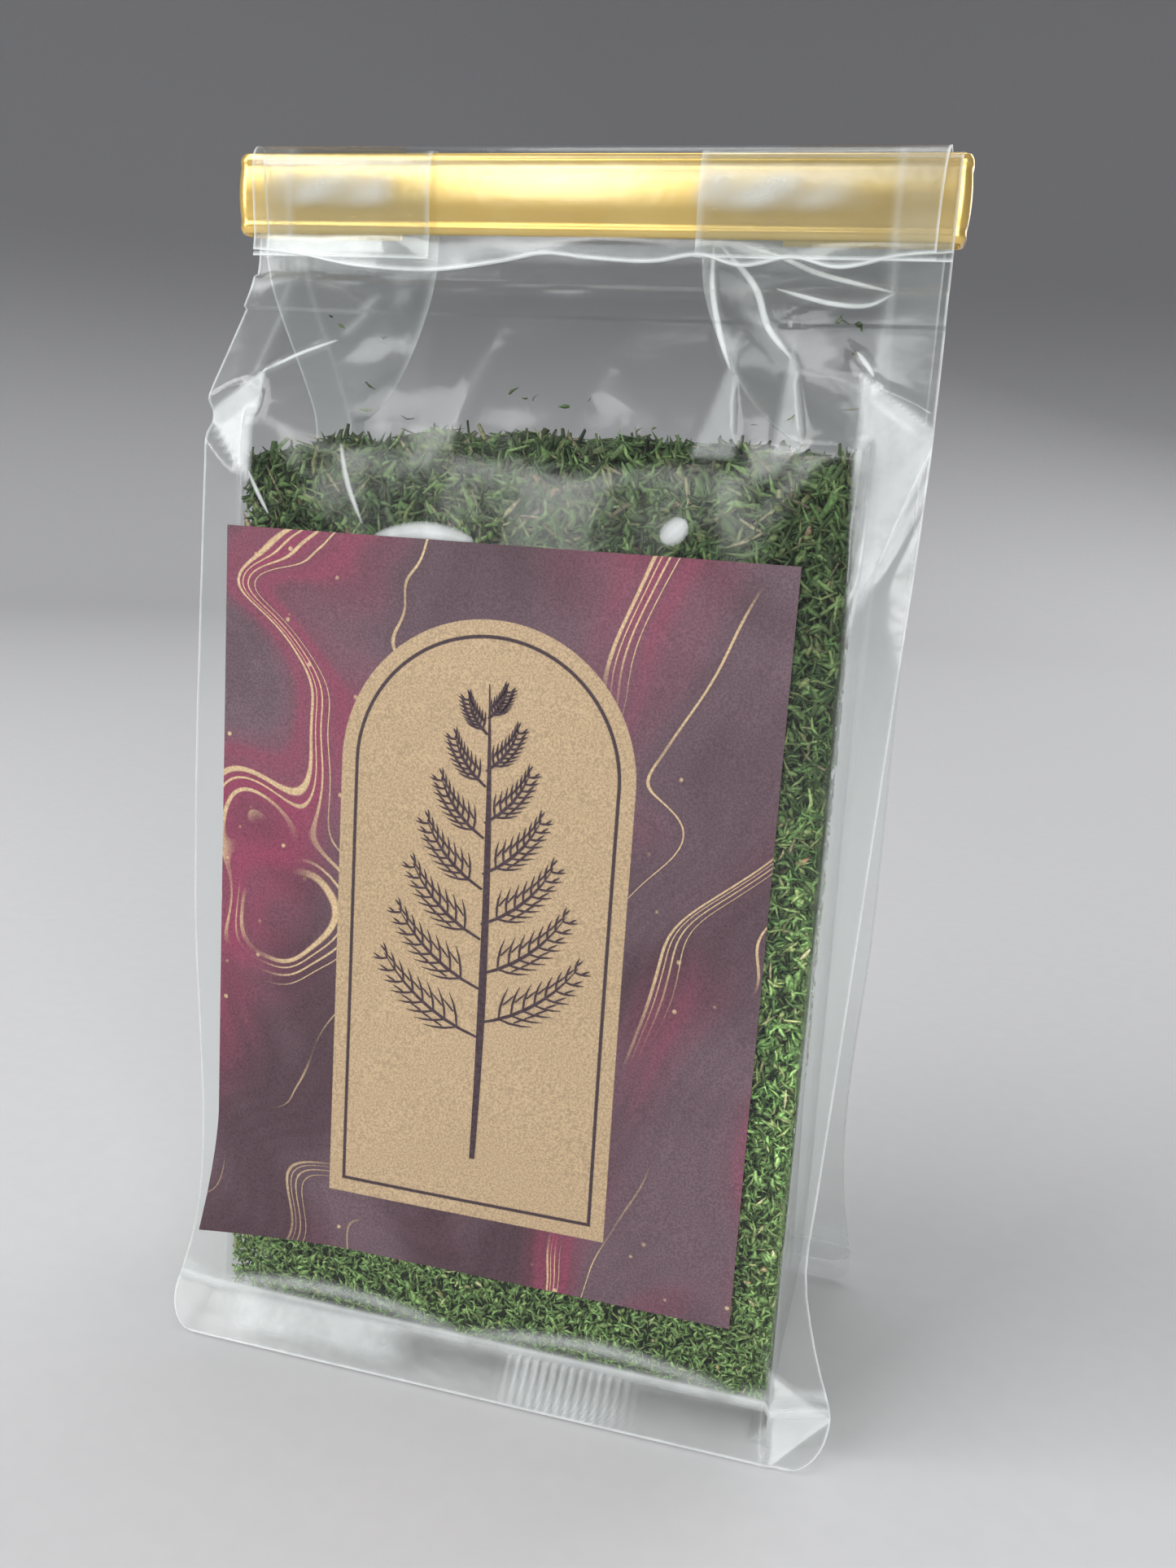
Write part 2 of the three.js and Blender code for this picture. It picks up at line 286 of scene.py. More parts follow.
def edit(piece: Piece, *steps: Callable[[], object]) -> None:
    """Runs edit-mode steps on all of a piece's mesh.

    Args:
        piece: The piece.
        steps: What to run, in order.
    """
    pick(piece)
    bpy.ops.object.mode_set(mode="EDIT")
    bpy.ops.mesh.select_all(action="SELECT")
    for step in steps:
        step()
    bpy.ops.object.mode_set(mode="OBJECT")


def face_out() -> None:
    """Turns the faces in edit mode outwards."""
    bpy.ops.mesh.normals_make_consistent(inside=False)


def weld(gap: float) -> Callable[[], object]:
    """A step that joins points closer than a gap in millimetres."""
    return lambda: bpy.ops.mesh.remove_doubles(threshold=gap * MM)


def close_tube(piece: Piece) -> None:
    """Joins the two long edges of a rolled grid, fills its ends and turns its faces outwards."""
    edit(piece, weld(0.005), lambda: bpy.ops.mesh.fill_holes(sides=0), face_out)


def smooth_shade(piece: Piece, angle: float) -> Piece:
    """Shades a piece smooth except at edges sharper than an angle in degrees, and gives it back.

    Args:
        piece: The piece.
        angle: The largest angle that stays smooth.

    Returns:
        The same piece.
    """
    pick(piece)
    bpy.ops.object.shade_smooth_by_angle(angle=math.radians(angle))
    return piece


def paint(piece: Piece, name: str, values: Array) -> None:
    """Stores a number or a colour a vertex, for a material to read.

    Args:
        piece: The piece.
        name: The attribute's name.
        values: One number or colour a vertex.
    """
    kind, key = "FLOAT", "value"
    if values.ndim > 1:
        kind, key, values = "FLOAT_COLOR", "color", np.column_stack([values, np.ones(len(values))])
    attribute = piece.data.attributes.new(name, kind, "POINT")
    attribute.data.foreach_set(key, values.astype(np.float32).ravel())


def seat(piece: Piece, material: Material, slot: str, *nodes: str) -> None:
    """Dresses a finished piece and puts it on the bag's body.

    Args:
        piece: The piece, at the origin.
        material: Its finish.
        slot: The record's material slot; not used.
        nodes: The CAD nodes that it stands for.
    """
    piece.data.materials.clear()
    piece.data.materials.append(material)
    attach(piece, BODY)
    if nodes:
        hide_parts(*nodes)
    LOG.info("%s: %d faces", piece.name, len(piece.data.polygons))


# Finishes


class NodeBench:
    """Adds and links the nodes of one material."""

    def __init__(self, name: str) -> None:
        """Starts an empty material.

        Args:
            name: The material's name.
        """
        self.material = bpy.data.materials.new(name)
        self.material.use_nodes = True
        self.tree = self.material.node_tree
        self.tree.nodes.clear()
        self.output = self.tree.nodes.new("ShaderNodeOutputMaterial")

    def add(self, kind: str, inputs: dict[str, object] | None = None, **settings: object) -> bpy.types.Node:
        """Adds a node.

        Args:
            kind: The node's type, without its ShaderNode prefix.
            inputs: Values or sockets for its inputs, by name.
            settings: Its own properties.

        Returns:
            The new node.
        """
        node = self.tree.nodes.new("ShaderNode" + kind)
        for key, value in settings.items():
            setattr(node, key, value)
        for key, value in (inputs or {}).items():
            self.feed(node.inputs[key], value)
        return node

    def feed(self, target: Socket, value: object) -> None:
        """Links a socket to an input, or sets the input's value.

        Args:
            target: The input.
            value: A socket or a value.
        """
        if isinstance(value, Socket):
            self.tree.links.new(value, target)
        else:
            target.default_value = value

    def math(self, operation: str, *values: object) -> Socket:
        """One step of arithmetic on sockets or numbers.

        Args:
            operation: The kind of step.
            values: What goes in, in order.

        Returns:
            The result.
        """
        node = self.add("Math", operation=operation)
        for target, value in zip(node.inputs, values):
            self.feed(target, value)
        return node.outputs[0]

    def times(self, *values: object) -> Socket:
        """The product of two values."""
        return self.math("MULTIPLY", *values)

    def scaled(self, value: object, factor: object, offset: object) -> Socket:
        """A value times a factor, plus an offset."""
        return self.math("MULTIPLY_ADD", value, factor, offset)

    def minus(self, value: object, less: object) -> Socket:
        """One value less another."""
        return self.math("SUBTRACT", value, less)

    def step(self, value: object, low: float, high: float) -> Socket:
        """0 at low, 1 at high, with soft ends."""
        limits = {"Value": value, "From Min": low, "From Max": high}
        return self.add("MapRange", limits, interpolation_type="SMOOTHSTEP").outputs["Result"]

    def blend(self, share: object, low: object, high: object, kind: str = "MIX") -> Socket:
        """Mixes two colours by a share.

        Args:
            share: How much of the second colour.
            low: The first colour.
            high: The second colour.
            kind: How they are mixed.

        Returns:
            The mixed colour.
        """
        node = self.add("Mix", data_type="RGBA", blend_type=kind)
        self.feed(node.inputs[0], share)
        for target, value in ((node.inputs[6], low), (node.inputs[7], high)):
            self.feed(target, (*value, 1.0) if isinstance(value, tuple) else value)
        return node.outputs[2]

    def shaded(self, colour: object, share: object, low: Colour, high: Colour) -> Socket:
        """A colour times a shade that goes from low to high with a share."""
        return self.blend(1.0, colour, self.blend(share, low, high), "MULTIPLY")

    def place(self) -> Socket:
        """Object coordinates, in metres."""
        return self.add("TexCoord").outputs["Object"]

    def noise(self, vector: object, scale: float, detail: float = 3.0, distortion: float = 0.0) -> Socket:
        """Cloudy noise of about 1 / scale metres, 0 to 1."""
        inputs = {"Vector": vector, "Scale": scale, "Detail": detail, "Distortion": distortion}
        return self.add("TexNoise", inputs).outputs["Fac"]

    def bump(self, height: object, distance: float) -> Socket:
        """A bumped normal from a height."""
        return self.add("Bump", {"Height": height, "Distance": distance, "Strength": 1.0}).outputs["Normal"]

    def finish(self, shader: bpy.types.Node) -> Material:
        """Links the last shader to the output and gives the material."""
        self.tree.links.new(shader.outputs[0], self.output.inputs["Surface"])
        return self.material

    def skin(self, **inputs: object) -> Material:
        """Ends the material with one opaque shader; an input's spaces are written as underscores."""
        named = {key.replace("_", " "): value for key, value in inputs.items()}
        return self.finish(self.add("BsdfPrincipled", named))


@dataclass(frozen=True)
class FilmFinish:
    """Clear glossy film, milky where it is welded, cut or creased, and white where glare and highlights are
    painted on.
    """

    name: str = "clear_film"
    tint: Colour = (0.985, 0.99, 0.987)
    milk_and_glare: Colour = (0.90, 0.93, 0.93)
    reflectance: float = 0.025
    roughness: float = 0.15
    veil: float = 0.002
    glow: float = 0.18
    ripple_scale: float = 420.0
    ripple_height: float = 0.00004

    def make(self) -> Material:
        """Builds the material.

        Returns:
            The material.
        """
        bench = NodeBench(self.name)
        place = bench.place()
        ripple = bench.bump(bench.noise(place, self.ripple_scale, 2.0), self.ripple_height)
        facing = bench.add("LayerWeight", {"Blend": 0.5, "Normal": ripple}).outputs["Facing"]
        glint = bench.math("POWER", facing, 5.0)
        glint = bench.scaled(glint, 1.0 - self.reflectance, self.reflectance)
        # The haze attribute carries the film's milkiness and also its painted glare and highlights.
        haze_and_glare = bench.add("Attribute", attribute_name="haze_and_glare").outputs["Fac"]
        patch = bench.step(bench.noise(place, 260.0, 4.0), 0.3, 0.7)
        milk_and_glare = bench.times(haze_and_glare, bench.scaled(patch, 0.35, 0.8))
        milk_and_glare = bench.math("ADD", milk_and_glare, self.veil)
        clear = bench.add("BsdfTransparent", {"Color": (*self.tint, 1.0)}).outputs[0]
        white = bench.add("BsdfDiffuse", {"Color": (*self.milk_and_glare, 1.0)}).outputs[0]
        lit = bench.add("BsdfTranslucent", {"Color": (*self.milk_and_glare, 1.0)}).outputs[0]
        cloud = bench.add("MixShader", {"Fac": self.glow, 1: white, 2: lit}).outputs[0]
        body = bench.add("MixShader", {"Fac": milk_and_glare, 1: clear, 2: cloud}).outputs[0]
        gloss = bench.add("BsdfGlossy", {"Roughness": self.roughness, "Normal": ripple}).outputs[0]
        return bench.finish(bench.add("MixShader", {"Fac": glint, 1: body, 2: gloss}))


@dataclass(frozen=True)
class DillFinish:
    """Dry dill, each bit in its own green."""

    name: str = "dried_dill"
    fibre_scale: float = 2600.0
    fibre_height: float = 0.00006

    def make(self) -> Material:
        """Builds the material.

        Returns:
            The material.
        """
        bench = NodeBench(self.name)
        fibre = bench.noise(bench.place(), self.fibre_scale, 2.0)
        tint = bench.add("Attribute", attribute_name="tint").outputs["Color"]
        colour = bench.shaded(tint, bench.step(fibre, 0.3, 0.7), (0.6, 0.6, 0.55), (1.25, 1.25, 1.2))
        normal = bench.bump(fibre, self.fibre_height)
        return bench.skin(Base_Color=colour, Roughness=0.62, Specular_IOR_Level=0.35, Normal=normal)


@dataclass(frozen=True)
class LabelFinish:
    """Printed uncoated paper: a plum marbled ground with gold veins, and a tan arched plaque."""

    name: str = "printed_paper"
    plum: Colour = (0.082, 0.046, 0.058)
    mauve: Colour = (0.150, 0.098, 0.118)
    berry: Colour = (0.285, 0.052, 0.105)
    gold: Colour = (0.620, 0.455, 0.265)
    tan: Colour = (0.500, 0.366, 0.225)
    brown: Colour = (0.470, 0.342, 0.205)
    ink: Colour = (0.060, 0.038, 0.046)
    plaque_half_width: float = 18.5
    plaque_bottom: float = -38.0
    plaque_spring: float = 19.0
    line_inset: float = 2.0
    line_width: float = 0.45
    veins: Knots = ((0.42, 0.013), (0.452, 0.005), (0.49, 0.007), (0.535, 0.004), (0.83, 0.006))
    speck_scale: float = 640.0
    speck_chance: float = 0.12
    grain_scale: float = 4000.0
    grain_height: float = 0.00003

    def plaque_distance(self, bench: NodeBench, across: object, up: object) -> Socket:
        """How far a point is outside the plaque, in millimetres.

        Args:
            bench: The material's nodes.
            across: Place across the label.
            up: Place up the label.

        Returns:
            The distance, negative inside.
        """
        above = bench.math("MAXIMUM", bench.minus(up, self.plaque_spring), 0.0)
        squares = [bench.math("POWER", value, 2.0) for value in (across, above)]
        arch = bench.math("SQRT", bench.math("ADD", *squares))
        sides = bench.minus(arch, self.plaque_half_width)
        return bench.math("MAXIMUM", sides, bench.minus(self.plaque_bottom, up))

    def ground(self, bench: NodeBench, place: object, across: object, up: object) -> Socket:
        """The marbled ground's colour: streams of plum and berry with gold veins and specks between them.

        Args:
            bench: The material's nodes.
            place: Object coordinates.
            across: Place across the label, in millimetres.
            up: Place up the label, in millimetres.

        Returns:
            The colour.
        """
        lean = bench.scaled(across, 0.030, bench.times(up, -0.016))
        stream = bench.math("FRACT", bench.scaled(bench.noise(place, 19.0, 1.6, 0.7), 3.1, lean))
        silk = bench.math("SINE", bench.times(stream, 44.0))
        dusk = bench.step(bench.noise(place, 24.0, 2.0, 1.0), 0.36, 0.62)
        colour = bench.blend(bench.scaled(silk, 0.06, dusk), self.plum, self.mauve)
        glow = bench.times(bench.step(stream, 0.12, 0.44), bench.step(stream, 0.86, 0.5))
        glow = bench.times(glow, bench.step(bench.noise(place, 21.0, 1.0), 0.40, 0.60))
        glow = bench.times(glow, bench.scaled(silk, 0.16, 0.74))
        colour = bench.blend(glow, colour, self.berry)
        fade = bench.step(bench.noise(place, 34.0, 2.0), 0.44, 0.56)
        for level, width in self.veins:
            off = bench.math("ABSOLUTE", bench.minus(stream, level))
            line = bench.minus(1.0, bench.step(off, width * 0.45, width))
            colour = bench.blend(bench.times(line, fade), colour, self.gold)
        cells = bench.add("TexVoronoi", {"Vector": place, "Scale": self.speck_scale})
        dot = bench.minus(1.0, bench.step(cells.outputs["Distance"], 0.10, 0.24))
        chance = bench.add("SeparateColor", {"Color": cells.outputs["Color"]}).outputs[0]
        rare = bench.math("GREATER_THAN", chance, 1.0 - self.speck_chance)
        near = bench.step(bench.noise(place, 40.0, 1.0), 0.50, 0.60)
        return bench.blend(bench.times(bench.times(dot, rare), near), colour, self.gold)

    def make(self, centre: Array) -> Material:
        """Builds the material.

        Args:
            centre: The middle of the label, in millimetres.

        Returns:
            The material.
        """
        bench = NodeBench(self.name)
        place = bench.place()
        axes = bench.add("SeparateXYZ", {"Vector": place}).outputs
        across, up = (bench.scaled(axes[key], 1.0 / MM, -float(centre[key])) for key in (0, 2))
        far = self.plaque_distance(bench, across, up)
        plaque = bench.minus(1.0, bench.step(far, -0.06, 0.06))
        off = bench.math("ABSOLUTE", bench.math("ADD", far, self.line_inset))
        half = self.line_width / 2
        line = bench.minus(1.0, bench.step(off, half - 0.08, half + 0.08))
        grain = bench.noise(place, self.grain_scale, 2.0)
        sheet = bench.blend(bench.step(bench.noise(place, 30.0), 0.3, 0.7), self.tan, self.brown)
        sheet = bench.blend(line, sheet, self.ink)
        colour = bench.blend(plaque, self.ground(bench, place, across, up), sheet)
        colour = bench.shaded(colour, bench.step(grain, 0.28, 0.72), (0.76, 0.76, 0.76), (1.22, 1.22, 1.22))
        normal = bench.bump(grain, self.grain_height)
        return bench.skin(Base_Color=colour, Roughness=0.58, Specular_IOR_Level=0.4, Normal=normal)


@dataclass(frozen=True)
class InkFinish:
    """Dark plum ink printed on paper."""

    name: str = "plum_ink"
    dark: Colour = (0.050, 0.030, 0.038)
    light: Colour = (0.085, 0.058, 0.068)

    def make(self) -> Material:
        """Builds the material.

        Returns:
            The material.
        """
        bench = NodeBench(self.name)
        grain = bench.step(bench.noise(bench.place(), 2400.0, 3.0), 0.35, 0.7)
        colour = bench.blend(grain, self.dark, self.light)
        return bench.skin(Base_Color=colour, Roughness=0.6, Specular_IOR_Level=0.35)


@dataclass(frozen=True)
class GoldFinish:
    """Gold foil laminate with fine lines along its length."""

    name: str = "gold_foil"
    bright: Colour = (0.93, 0.65, 0.19)
    deep: Colour = (0.86, 0.57, 0.14)
    stretch: Colour = (0.06, 1.0, 1.0)
    line_height: float = 0.000006

    def make(self) -> Material:
        """Builds the material.

        Returns:
            The material.
        """
        bench = NodeBench(self.name)
        place = bench.place()
        stretched = bench.add("Mapping", {"Vector": place, "Scale": self.stretch}).outputs[0]
        lines = bench.noise(stretched, 2600.0, 2.0)
        cloud = bench.step(bench.noise(place, 120.0, 3.0), 0.3, 0.7)
        return bench.skin(
            Base_Color=bench.blend(cloud, self.deep, self.bright),
            Metallic=0.66,
            Coat_Weight=0.2,
            Coat_Roughness=0.12,
            Roughness=bench.scaled(lines, 0.10, 0.20),
            Normal=bench.bump(lines, self.line_height),
        )


@dataclass(frozen=True)
class WireFinish:
    """Plain soft steel wire."""

    name: str = "soft_wire"
    dark: Colour = (0.34, 0.34, 0.35)
    light: Colour = (0.58, 0.58, 0.59)

    def make(self) -> Material:
        """Builds the material.

        Returns:
            The material.
        """
        bench = NodeBench(self.name)
        scuff = bench.noise(bench.place(), 900.0, 4.0)
        colour = bench.blend(scuff, self.dark, self.light)
        return bench.skin(Base_Color=colour, Metallic=1.0, Roughness=bench.scaled(scuff, 0.3, 0.25))


@dataclass(frozen=True)
class FloorFinish:
    """Plain matt floor, pale underfoot and greyer up the wall."""

    name: str = "studio_paper"
    floor: Colour = (0.60, 0.60, 0.61)
    wall: Colour = (0.23, 0.23, 0.242)
    grey_height: float = 0.35

    def make(self) -> Material:
        """Builds the material.

        Returns:
            The material.
        """
        bench = NodeBench(self.name)
        place = bench.place()
        height = bench.add("SeparateXYZ", {"Vector": place}).outputs["Z"]
        colour = bench.blend(bench.step(height, 0.0, self.grey_height), self.floor, self.wall)
        colour = bench.shaded(colour, bench.noise(place, 300.0), (0.97, 0.97, 0.97), (1.03, 1.03, 1.03))
        return bench.skin(Base_Color=colour, Roughness=0.8)


# The bag


@dataclass(frozen=True)
class BagForm:
    """The shape, in millimetres, that the film's sheets and the filling share."""

    half_width: float = 37.0
    base_half_depth: float = 20.0
    base_rise: float = 5.2
    base_lift: float = 0.25
    lean: float = math.radians(2.0)
    swell: float = 1.0
    shoulder: float = 122.0
    neck: float = 138.5
    neck_half_depth: float = 0.33
    gusset_at_shoulder: float = 9.0
    gusset_left: float = 18.5
    gusset_right: float = 22.5
    fold_y: float = -1.55
    fold_radius: float = 1.8
    fold_height: float = 151.3
    shoulder_round: float = 0.42
    corner_round: float = 0.10
    neck_round: float = 0.035

    @property
    def fold_end(self) -> float:
        """Where the film's run over the tie points straight down."""
        return self.fold_height + math.pi * self.fold_radius

    def closing(self, z: Array, x: Array | float = 37.0) -> Array:
        """0 below the shoulder, 1 from the flat neck on, turning more softly in the middle of a panel.

        Args:
            z: Heights.
            x: Places across.

        Returns:
            Shares, 0 to 1.
        """
        share = (z - self.shoulder) / (self.neck - self.shoulder)
        soft = mix(self.shoulder_round, self.corner_round, ease(np.abs(x), 20.0, 36.0))
        start = 0.5 * (share + np.sqrt(share**2 + soft**2))
        rest = 1.0 - start * ease(z, self.shoulder - 24.0, self.shoulder - 8.0)
        return np.clip(1.0 - 0.5 * (rest + np.sqrt(rest**2 + self.neck_round)), 0.0, 1.0)

    def middle(self, z: Array, x: Array | float = 37.0) -> Array:
        """Where the middle of the section lies: it moves to the tie as the neck closes."""
        return (self.fold_y + self.fold_radius) * self.closing(z, x)

    def half_depth(self, z: Array, x: Array | float = 37.0) -> Array:
        """Half of the bag's depth at a height and a place across."""
        body = self.base_half_depth - np.minimum(z, self.shoulder) * math.tan(self.lean)
        return mix(body, self.neck_half_depth, self.closing(z, x))

    def panel(self, x: Array, z: Array) -> Array:
        """How far a wide panel lies from the middle: half the depth, and its swelling.

        Args:
            x: Places across.
            z: Heights.

        Returns:
            Distances from the middle.
        """
        up = np.sin(math.pi * ramp(z, 0.0, self.shoulder))
        swelling = self.swell * up * (1.0 - np.minimum(np.abs(x) / self.half_width, 1.0) ** 2)
        return self.half_depth(z, x) + swelling

    def base_height(self, x: Array, y: Array) -> Array:
        """How high the base's film lies: it sags from the folds of the two skirts to the table.

        Args:
            x: Places across.
            y: Places through the bag.

        Returns:
            Heights.
        """
        sag = self.base_rise * ramp(np.abs(y), 2.0, self.base_half_depth) ** 1.05
        sides = 2.6 * ease(np.abs(x), self.half_width - 2.6, self.half_width) ** 1.5
        return self.base_lift + np.maximum(sag, sides)

    def gusset(self, z: Array, side: Side) -> Array:
        """How far a side is folded in at a height.

        Args:
            z: Heights.
            side: Which side.

        Returns:
            Distances in from the corners.
        """
        deep = self.gusset_right if side is Side.RIGHT else self.gusset_left
        body = self.gusset_at_shoulder * ramp(z, 0.0, self.shoulder) ** 1.5
        return mix(body, deep, np.sqrt(ramp(self.closing(z), 0.02, 1.0)))

    def follow(self, x: Array, depth: Array, length: Array) -> Array:
        """Puts points of the bag's section on the film's way.

        Args:
            x: Places across the bag.
            depth: Places through the bag, from the middle of its section.
            length: Places along the film: its height up to the fold, and then its run over the tie.

        Returns:
            Points, one a row.
        """
        turn = np.clip((length - self.fold_height) / self.fold_radius, 0.0, math.pi)
        radius = self.fold_radius + depth
        down = np.maximum(length - self.fold_end, 0.0)
        folded = length > self.fold_height
        y = np.where(folded, self.fold_y + radius * np.cos(turn), self.middle(length) + depth)
        z = np.where(folded, self.fold_height + radius * np.sin(turn) - down, length)
        return stack(x, y, z)


@dataclass(frozen=True)
class Crease:
    """A sharp fold line on a panel, through points across and up it, with or without a white back that
    paints a highlight along it.
    """

    points: Knots
    height: float = 0.5
    reach: float = 1.6
    milk_and_glare: float = 0.16
    rib: float = 0.0
    rib_milk_and_glare: float = 0.75

    def share(self, x: Array, z: Array) -> Array:
        """1 on the line, falling to 0 at its reach and towards its ends.

        Args:
            x: Places across.
            z: Heights.

        Returns:
            Shares, 0 to 1.
        """
        best = np.zeros_like(x)
        count = len(self.points) - 1
        for index, ((x0, z0), (x1, z1)) in enumerate(zip(self.points, self.points[1:])):
            run = np.array([x1 - x0, z1 - z0])
            along = np.clip(((x - x0) * run[0] + (z - z0) * run[1]) / (run @ run), 0.0, 1.0)
            away = np.hypot(x - x0 - along * run[0], z - z0 - along * run[1])
            whole = (index + along) / count
            fade = np.minimum(1.0, 6.0 * np.minimum(whole, 1.0 - whole) + 0.15)
            best = np.maximum(best, fade * np.clip(1.0 - away / self.reach, 0.0, 1.0))
        return best


@dataclass(frozen=True)
class Facet:
    """A flat spot in a panel: the plane through three of its points, the last of them pushed in, with a
    painted glare patch on it.
    """

    corners: Knots
    push: float
    reach: float
    milk_and_glare: float

    def shares(self, x: Array, z: Array) -> Array:
        """How much each corner counts at a place on the plane."""
        spread = np.array([[1.0, 1.0, 1.0], *zip(*self.corners)])
        return np.tensordot(np.linalg.inv(spread), np.stack([np.ones_like(x), x, z]), axes=1)

    def flatten(self, depth: Array, x: Array, z: Array, depth_at: Callable[[Array, Array], Array]) -> Array:
        """Pulls a panel's depth to the plane inside the triangle, and less so up to its reach outside.

        Args:
            depth: The panel's depth.
            x: Places across.
            z: Places up the panel.
            depth_at: Gives the panel's depth at the corners.

        Returns:
            The new depth, as it was where the dill lies behind the panel.
        """
        across, up = np.array(self.corners).T
        heights = depth_at(across, up) - self.push * np.array([0.0, 0.0, 1.0])
        clear = np.maximum(ease(np.abs(x), 36.7, 37.6), ease(z, 119.5, 122.0))
        return mix(depth, heights @ self.shares(x, z), clear * self.mask(x, z, self.reach))

    def mask(self, x: Array, z: Array, reach: float) -> Array:
        """1 inside the triangle, falling to 0 over a reach outside it.

        Args:
            x: Places across.
            z: Heights.
            reach: How far outside it still counts.

        Returns:
            Shares, 0 to 1.
        """
        across, up = np.array(self.corners).T
        edges = np.hypot(np.roll(across, 1) - np.roll(across, 2), np.roll(up, 1) - np.roll(up, 2))
        area = abs(np.linalg.det(np.array([[1.0, 1.0, 1.0], across, up])))
        outside = np.max(-self.shares(x, z) * (area / edges)[:, None], axis=0)
        return bell(np.maximum(outside, 0.0), 0.0, reach)


@dataclass
class FilmBag:
    """The film: two wide panels with their seal fins, two gusseted sides and a base."""

    form: BagForm
    film: float = 0.09
    rib_film: float = 0.04
    rib_width: int = 5
    rib_step: float = 0.4
    layer_gap: float = 0.14
    columns: int = 220
    back_columns: int = 150
    rows: int = 200
    side_columns: int = 64
    fin_share: float = 0.13
    side_pillow: float = 0.9
    foot: float = 0.3
    skirt_height: float = 5.8
    skirt_spread: float = 4.2
    corner_radius: float = 4.5
    flap_flare: float = 0.7
    flap_crown: float = 0.32
    tie_bottom: float = 143.3
    crown_height: float = 4.7
    shading: float = 60.0
    right_front_edge: Knots = (
        (0.0, 44.6), (5.0, 44.8), (13.0, 42.4), (23.0, 40.2), (34.0, 40.5), (45.0, 41.0), (70.0, 42.1),
        (92.0, 43.0), (123.0, 44.0), (140.0, 43.7), (160.0, 43.7), (175.0, 43.7),
    )
    left_front_edge: Knots = (
        (0.0, 44.4), (5.0, 44.4), (12.0, 42.7), (60.0, 42.5), (104.0, 42.4), (122.0, 42.2), (131.0, 42.3),
        (150.0, 42.4), (158.0, 40.8), (175.0, 40.6),
    )
    back_edge: Knots = (
        (0.0, 44.4), (5.0, 44.2), (12.0, 42.8), (60.0, 42.5), (122.0, 42.3), (150.0, 42.6), (158.0, 42.0),
        (175.0, 42.0),
    )
    hem: Knots = (
        (-43.0, 141.2), (-36.0, 140.6), (-28.0, 139.3), (-18.0, 139.0), (-9.0, 140.2), (-4.0, 141.2),
        (2.0, 140.7), (10.0, 140.5), (15.0, 141.3), (20.0, 140.2), (26.0, 141.2), (31.0, 140.2),
        (38.0, 141.6), (44.0, 142.2),
    )
    creases: tuple[Crease, ...] = (
        Crease(((16.2, 143.0), (16.5, 138.5), (18.5, 132.8), (20.8, 128.2)), 0.35, 1.3, 0.10, 0.75),
        Crease(((17.0, 143.0), (21.8, 138.0), (24.0, 133.5), (27.5, 129.8)), 0.35, 1.3, 0.10, 0.85),
        Crease(
            ((19.8, 143.0), (24.2, 141.8), (28.2, 140.2), (33.0, 139.0), (37.8, 138.0)),
            0.3, 1.2, 0.10, 0.65,
        ),
        Crease(
            ((24.0, 138.2), (27.8, 137.2), (31.0, 136.5), (35.2, 136.5), (37.8, 138.0)),
            0.3, 1.2, 0.10, 0.65,
        ),
        Crease(((34.5, 131.0), (35.8, 129.6), (37.0, 128.0)), 0.4, 1.3, 0.20, 0.6),
        Crease(((37.0, 127.6), (44.0, 123.0)), 0.5, 1.8, 0.10),
        Crease(((-36.0, 125.6), (-33.0, 127.8), (-28.2, 130.2)), 0.4, 1.3, 0.12, 0.6, 0.6),
        Crease(((-28.2, 130.2), (-24.5, 136.5)), 0.3, 1.6, 0.10),
        Crease(((-36.0, 125.2), (-42.5, 120.6)), 0.6, 2.0, 0.10),
        # These four have no fold: only their white backs, which are painted highlights.
        Crease(((-36.0, 114.2), (-34.6, 111.6), (-33.0, 109.0)), 0.0, 1.2, 0.0, 0.6, 0.6),
        Crease(((-24.5, 118.0), (-23.0, 113.0), (-20.8, 108.6)), 0.0, 1.2, 0.0, 0.7, 0.5),
        Crease(((-19.4, 107.2), (-13.0, 108.3), (-6.6, 107.6)), 0.0, 1.0, 0.0, 2.3, 0.7),
        Crease(((15.6, 109.0), (17.0, 110.3), (18.2, 111.6)), 0.0, 1.0, 0.0, 2.8, 0.7),
        Crease(((-8.0, 131.0), (-10.5, 121.0)), 0.3, 2.0, 0.04),
        Crease(((5.0, 127.0), (14.0, 121.0)), 0.3, 2.2, 0.04),
    )
    # Each facet's last number paints a white glare patch on it.
    facets: tuple[Facet, ...] = (
        Facet(((-36.0, 125.2), (-36.2, 113.6), (-42.6, 120.4)), 1.9, 1.0, 0.5),
        Facet(((35.8, 127.8), (37.5, 103.0), (44.3, 122.3)), 2.0, 1.4, 0.42),
        Facet(((27.5, 129.8), (27.4, 119.4), (30.2, 119.8)), 0.5, 0.5, 0.2),
        Facet(((20.8, 129.0), (18.4, 119.0), (22.4, 119.0)), 0.4, 0.5, 0.16),
        Facet(((37.0, 10.0), (38.5, 1.0), (45.0, 5.0)), 1.0, 1.0, 0.2),
    )
    right_curl: Knots = (
        (0.0, 0.2), (10.0, 0.6), (23.0, 1.5), (36.0, 1.0), (60.0, 0.5), (90.0, 0.5), (108.0, 1.0),
        (120.0, 0.9), (134.0, 0.3), (200.0, 0.0),
    )
    plain_curl: Knots = (
        (0.0, 0.2), (15.0, 0.9), (40.0, 0.3), (70.0, -0.3), (100.0, 0.4), (122.0, 0.8), (140.0, 0.1),
        (200.0, 0.0),
    )

